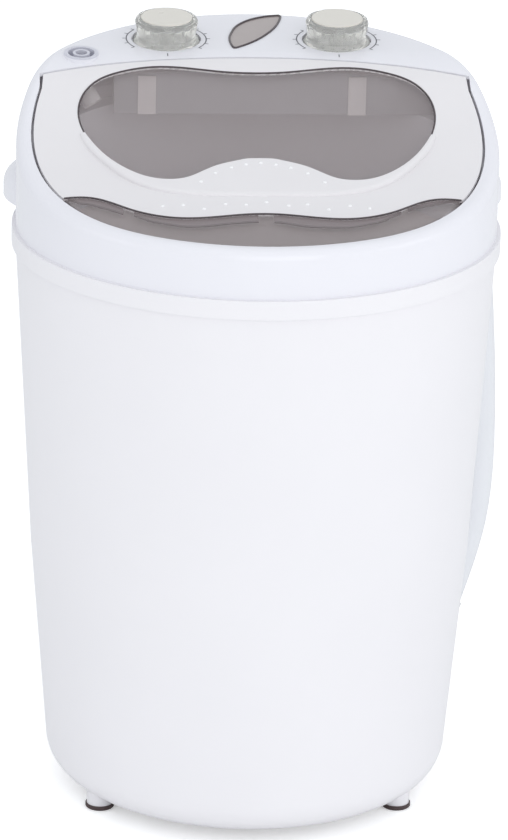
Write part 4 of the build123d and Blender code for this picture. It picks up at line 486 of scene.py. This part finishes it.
# Drain hose: soft clear-white vinyl, standing up the casing's side from the wall elbow to
# its nozzle, held by one clip. Each point is a reach, a bearing and a height.
hose_route = ((176.9, 29.0, 98.7), (199.5, 29.0, 150.0), (211.5, 29.8, 205.0), (213.8, 31.2, 280.0),
              (212.0, 32.7, 356.0), (207.5, 34.0, 424.0))
hose_line = bpy.data.curves.new("drain_hose_line", "CURVE")
hose_line.dimensions = "3D"
run = hose_line.splines.new("NURBS")
run.points.add(len(hose_route) - 1)
for point, (reach, bearing, height) in zip(run.points, hose_route):
    turn = math.radians(bearing)
    point.co = (reach * math.cos(turn) / 1000, reach * math.sin(turn) / 1000, height / 1000, 1.0)
run.use_endpoint_u = True
run.order_u = 3
hose_line.resolution_u = 24
hose_line.bevel_depth = 0.0138
hose_line.bevel_resolution = 8
hose = bpy.data.objects.new("soft_drain_hose", hose_line)
bpy.context.scene.collection.objects.link(hose)
hose_vinyl = moulded("hose_vinyl", (0.80, 0.81, 0.84), roughness=0.3)
hose_line.materials.append(hose_vinyl)
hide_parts("drain_hose")
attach(hose, "machine")

# Wiring loom: five thin wires laid round each other, from the deck down to the terminal block.
loom_bearing = math.radians(104.0)
loom_route = ((170.2, 516.0), (170.2, 424.0), (158.5, 215.0), (152.0, 98.0), (130.0, 98.0))
loom_line = bpy.data.curves.new("wiring_loom_line", "CURVE")
loom_line.dimensions = "3D"
run = loom_line.splines.new("NURBS")
run.points.add(len(loom_route) - 1)
for point, (reach, height) in zip(run.points, loom_route):
    point.co = (reach * math.cos(loom_bearing) / 1000, reach * math.sin(loom_bearing) / 1000, height / 1000, 1.0)
run.use_endpoint_u = True
run.order_u = 3
loom_line.resolution_u = 16
loom_guide = bpy.data.objects.new("wiring_loom_guide", loom_line)
bpy.context.scene.collection.objects.link(loom_guide)
bpy.context.view_layer.update()
loom_points = [vert.co.copy() for vert in bpy.data.meshes.new_from_object(loom_guide).vertices]
bpy.data.objects.remove(loom_guide)
wire_colours = (("wire_brown", (0.10, 0.05, 0.03)), ("wire_blue", (0.03, 0.10, 0.35)),
                ("wire_white", (0.70, 0.70, 0.70)), ("wire_red", (0.40, 0.03, 0.03)),
                ("wire_black", (0.02, 0.02, 0.022)))
across = Vector((-math.sin(loom_bearing), math.cos(loom_bearing), 0.0))
bundle = bmesh.new()
for wire in range(5):
    rings = []
    for index, place in enumerate(loom_points):
        ahead = loom_points[min(index + 1, len(loom_points) - 1)] - loom_points[max(index - 1, 0)]
        outward = across.cross(ahead.normalized())
        lay = math.tau * (wire / 5 + index / 40)
        centre = place + (across * math.cos(lay) + outward * math.sin(lay)) * 0.0018
        rings.append([bundle.verts.new(centre + (across * math.cos(turn) + outward * math.sin(turn)) * 0.0011)
                      for turn in (math.tau * step / 10 for step in range(10))])
    for first, second in zip(rings, rings[1:]):
        for side in range(10):
            face = bundle.faces.new((first[side], first[side - 1], second[side - 1], second[side]))
            face.material_index = wire
            face.smooth = True
    for ring in (rings[0], rings[-1]):
        bundle.faces.new(ring).material_index = wire
bmesh.ops.recalc_face_normals(bundle, faces=bundle.faces)
bundle_mesh = bpy.data.meshes.new("wiring_bundle")
bundle.to_mesh(bundle_mesh)
bundle.free()
wiring_bundle = bpy.data.objects.new("wiring_bundle", bundle_mesh)
bpy.context.scene.collection.objects.link(wiring_bundle)
for name, colour in wire_colours:
    bundle_mesh.materials.append(moulded(name, colour, roughness=0.4))
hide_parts("wiring_loom")
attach(wiring_bundle, "machine")
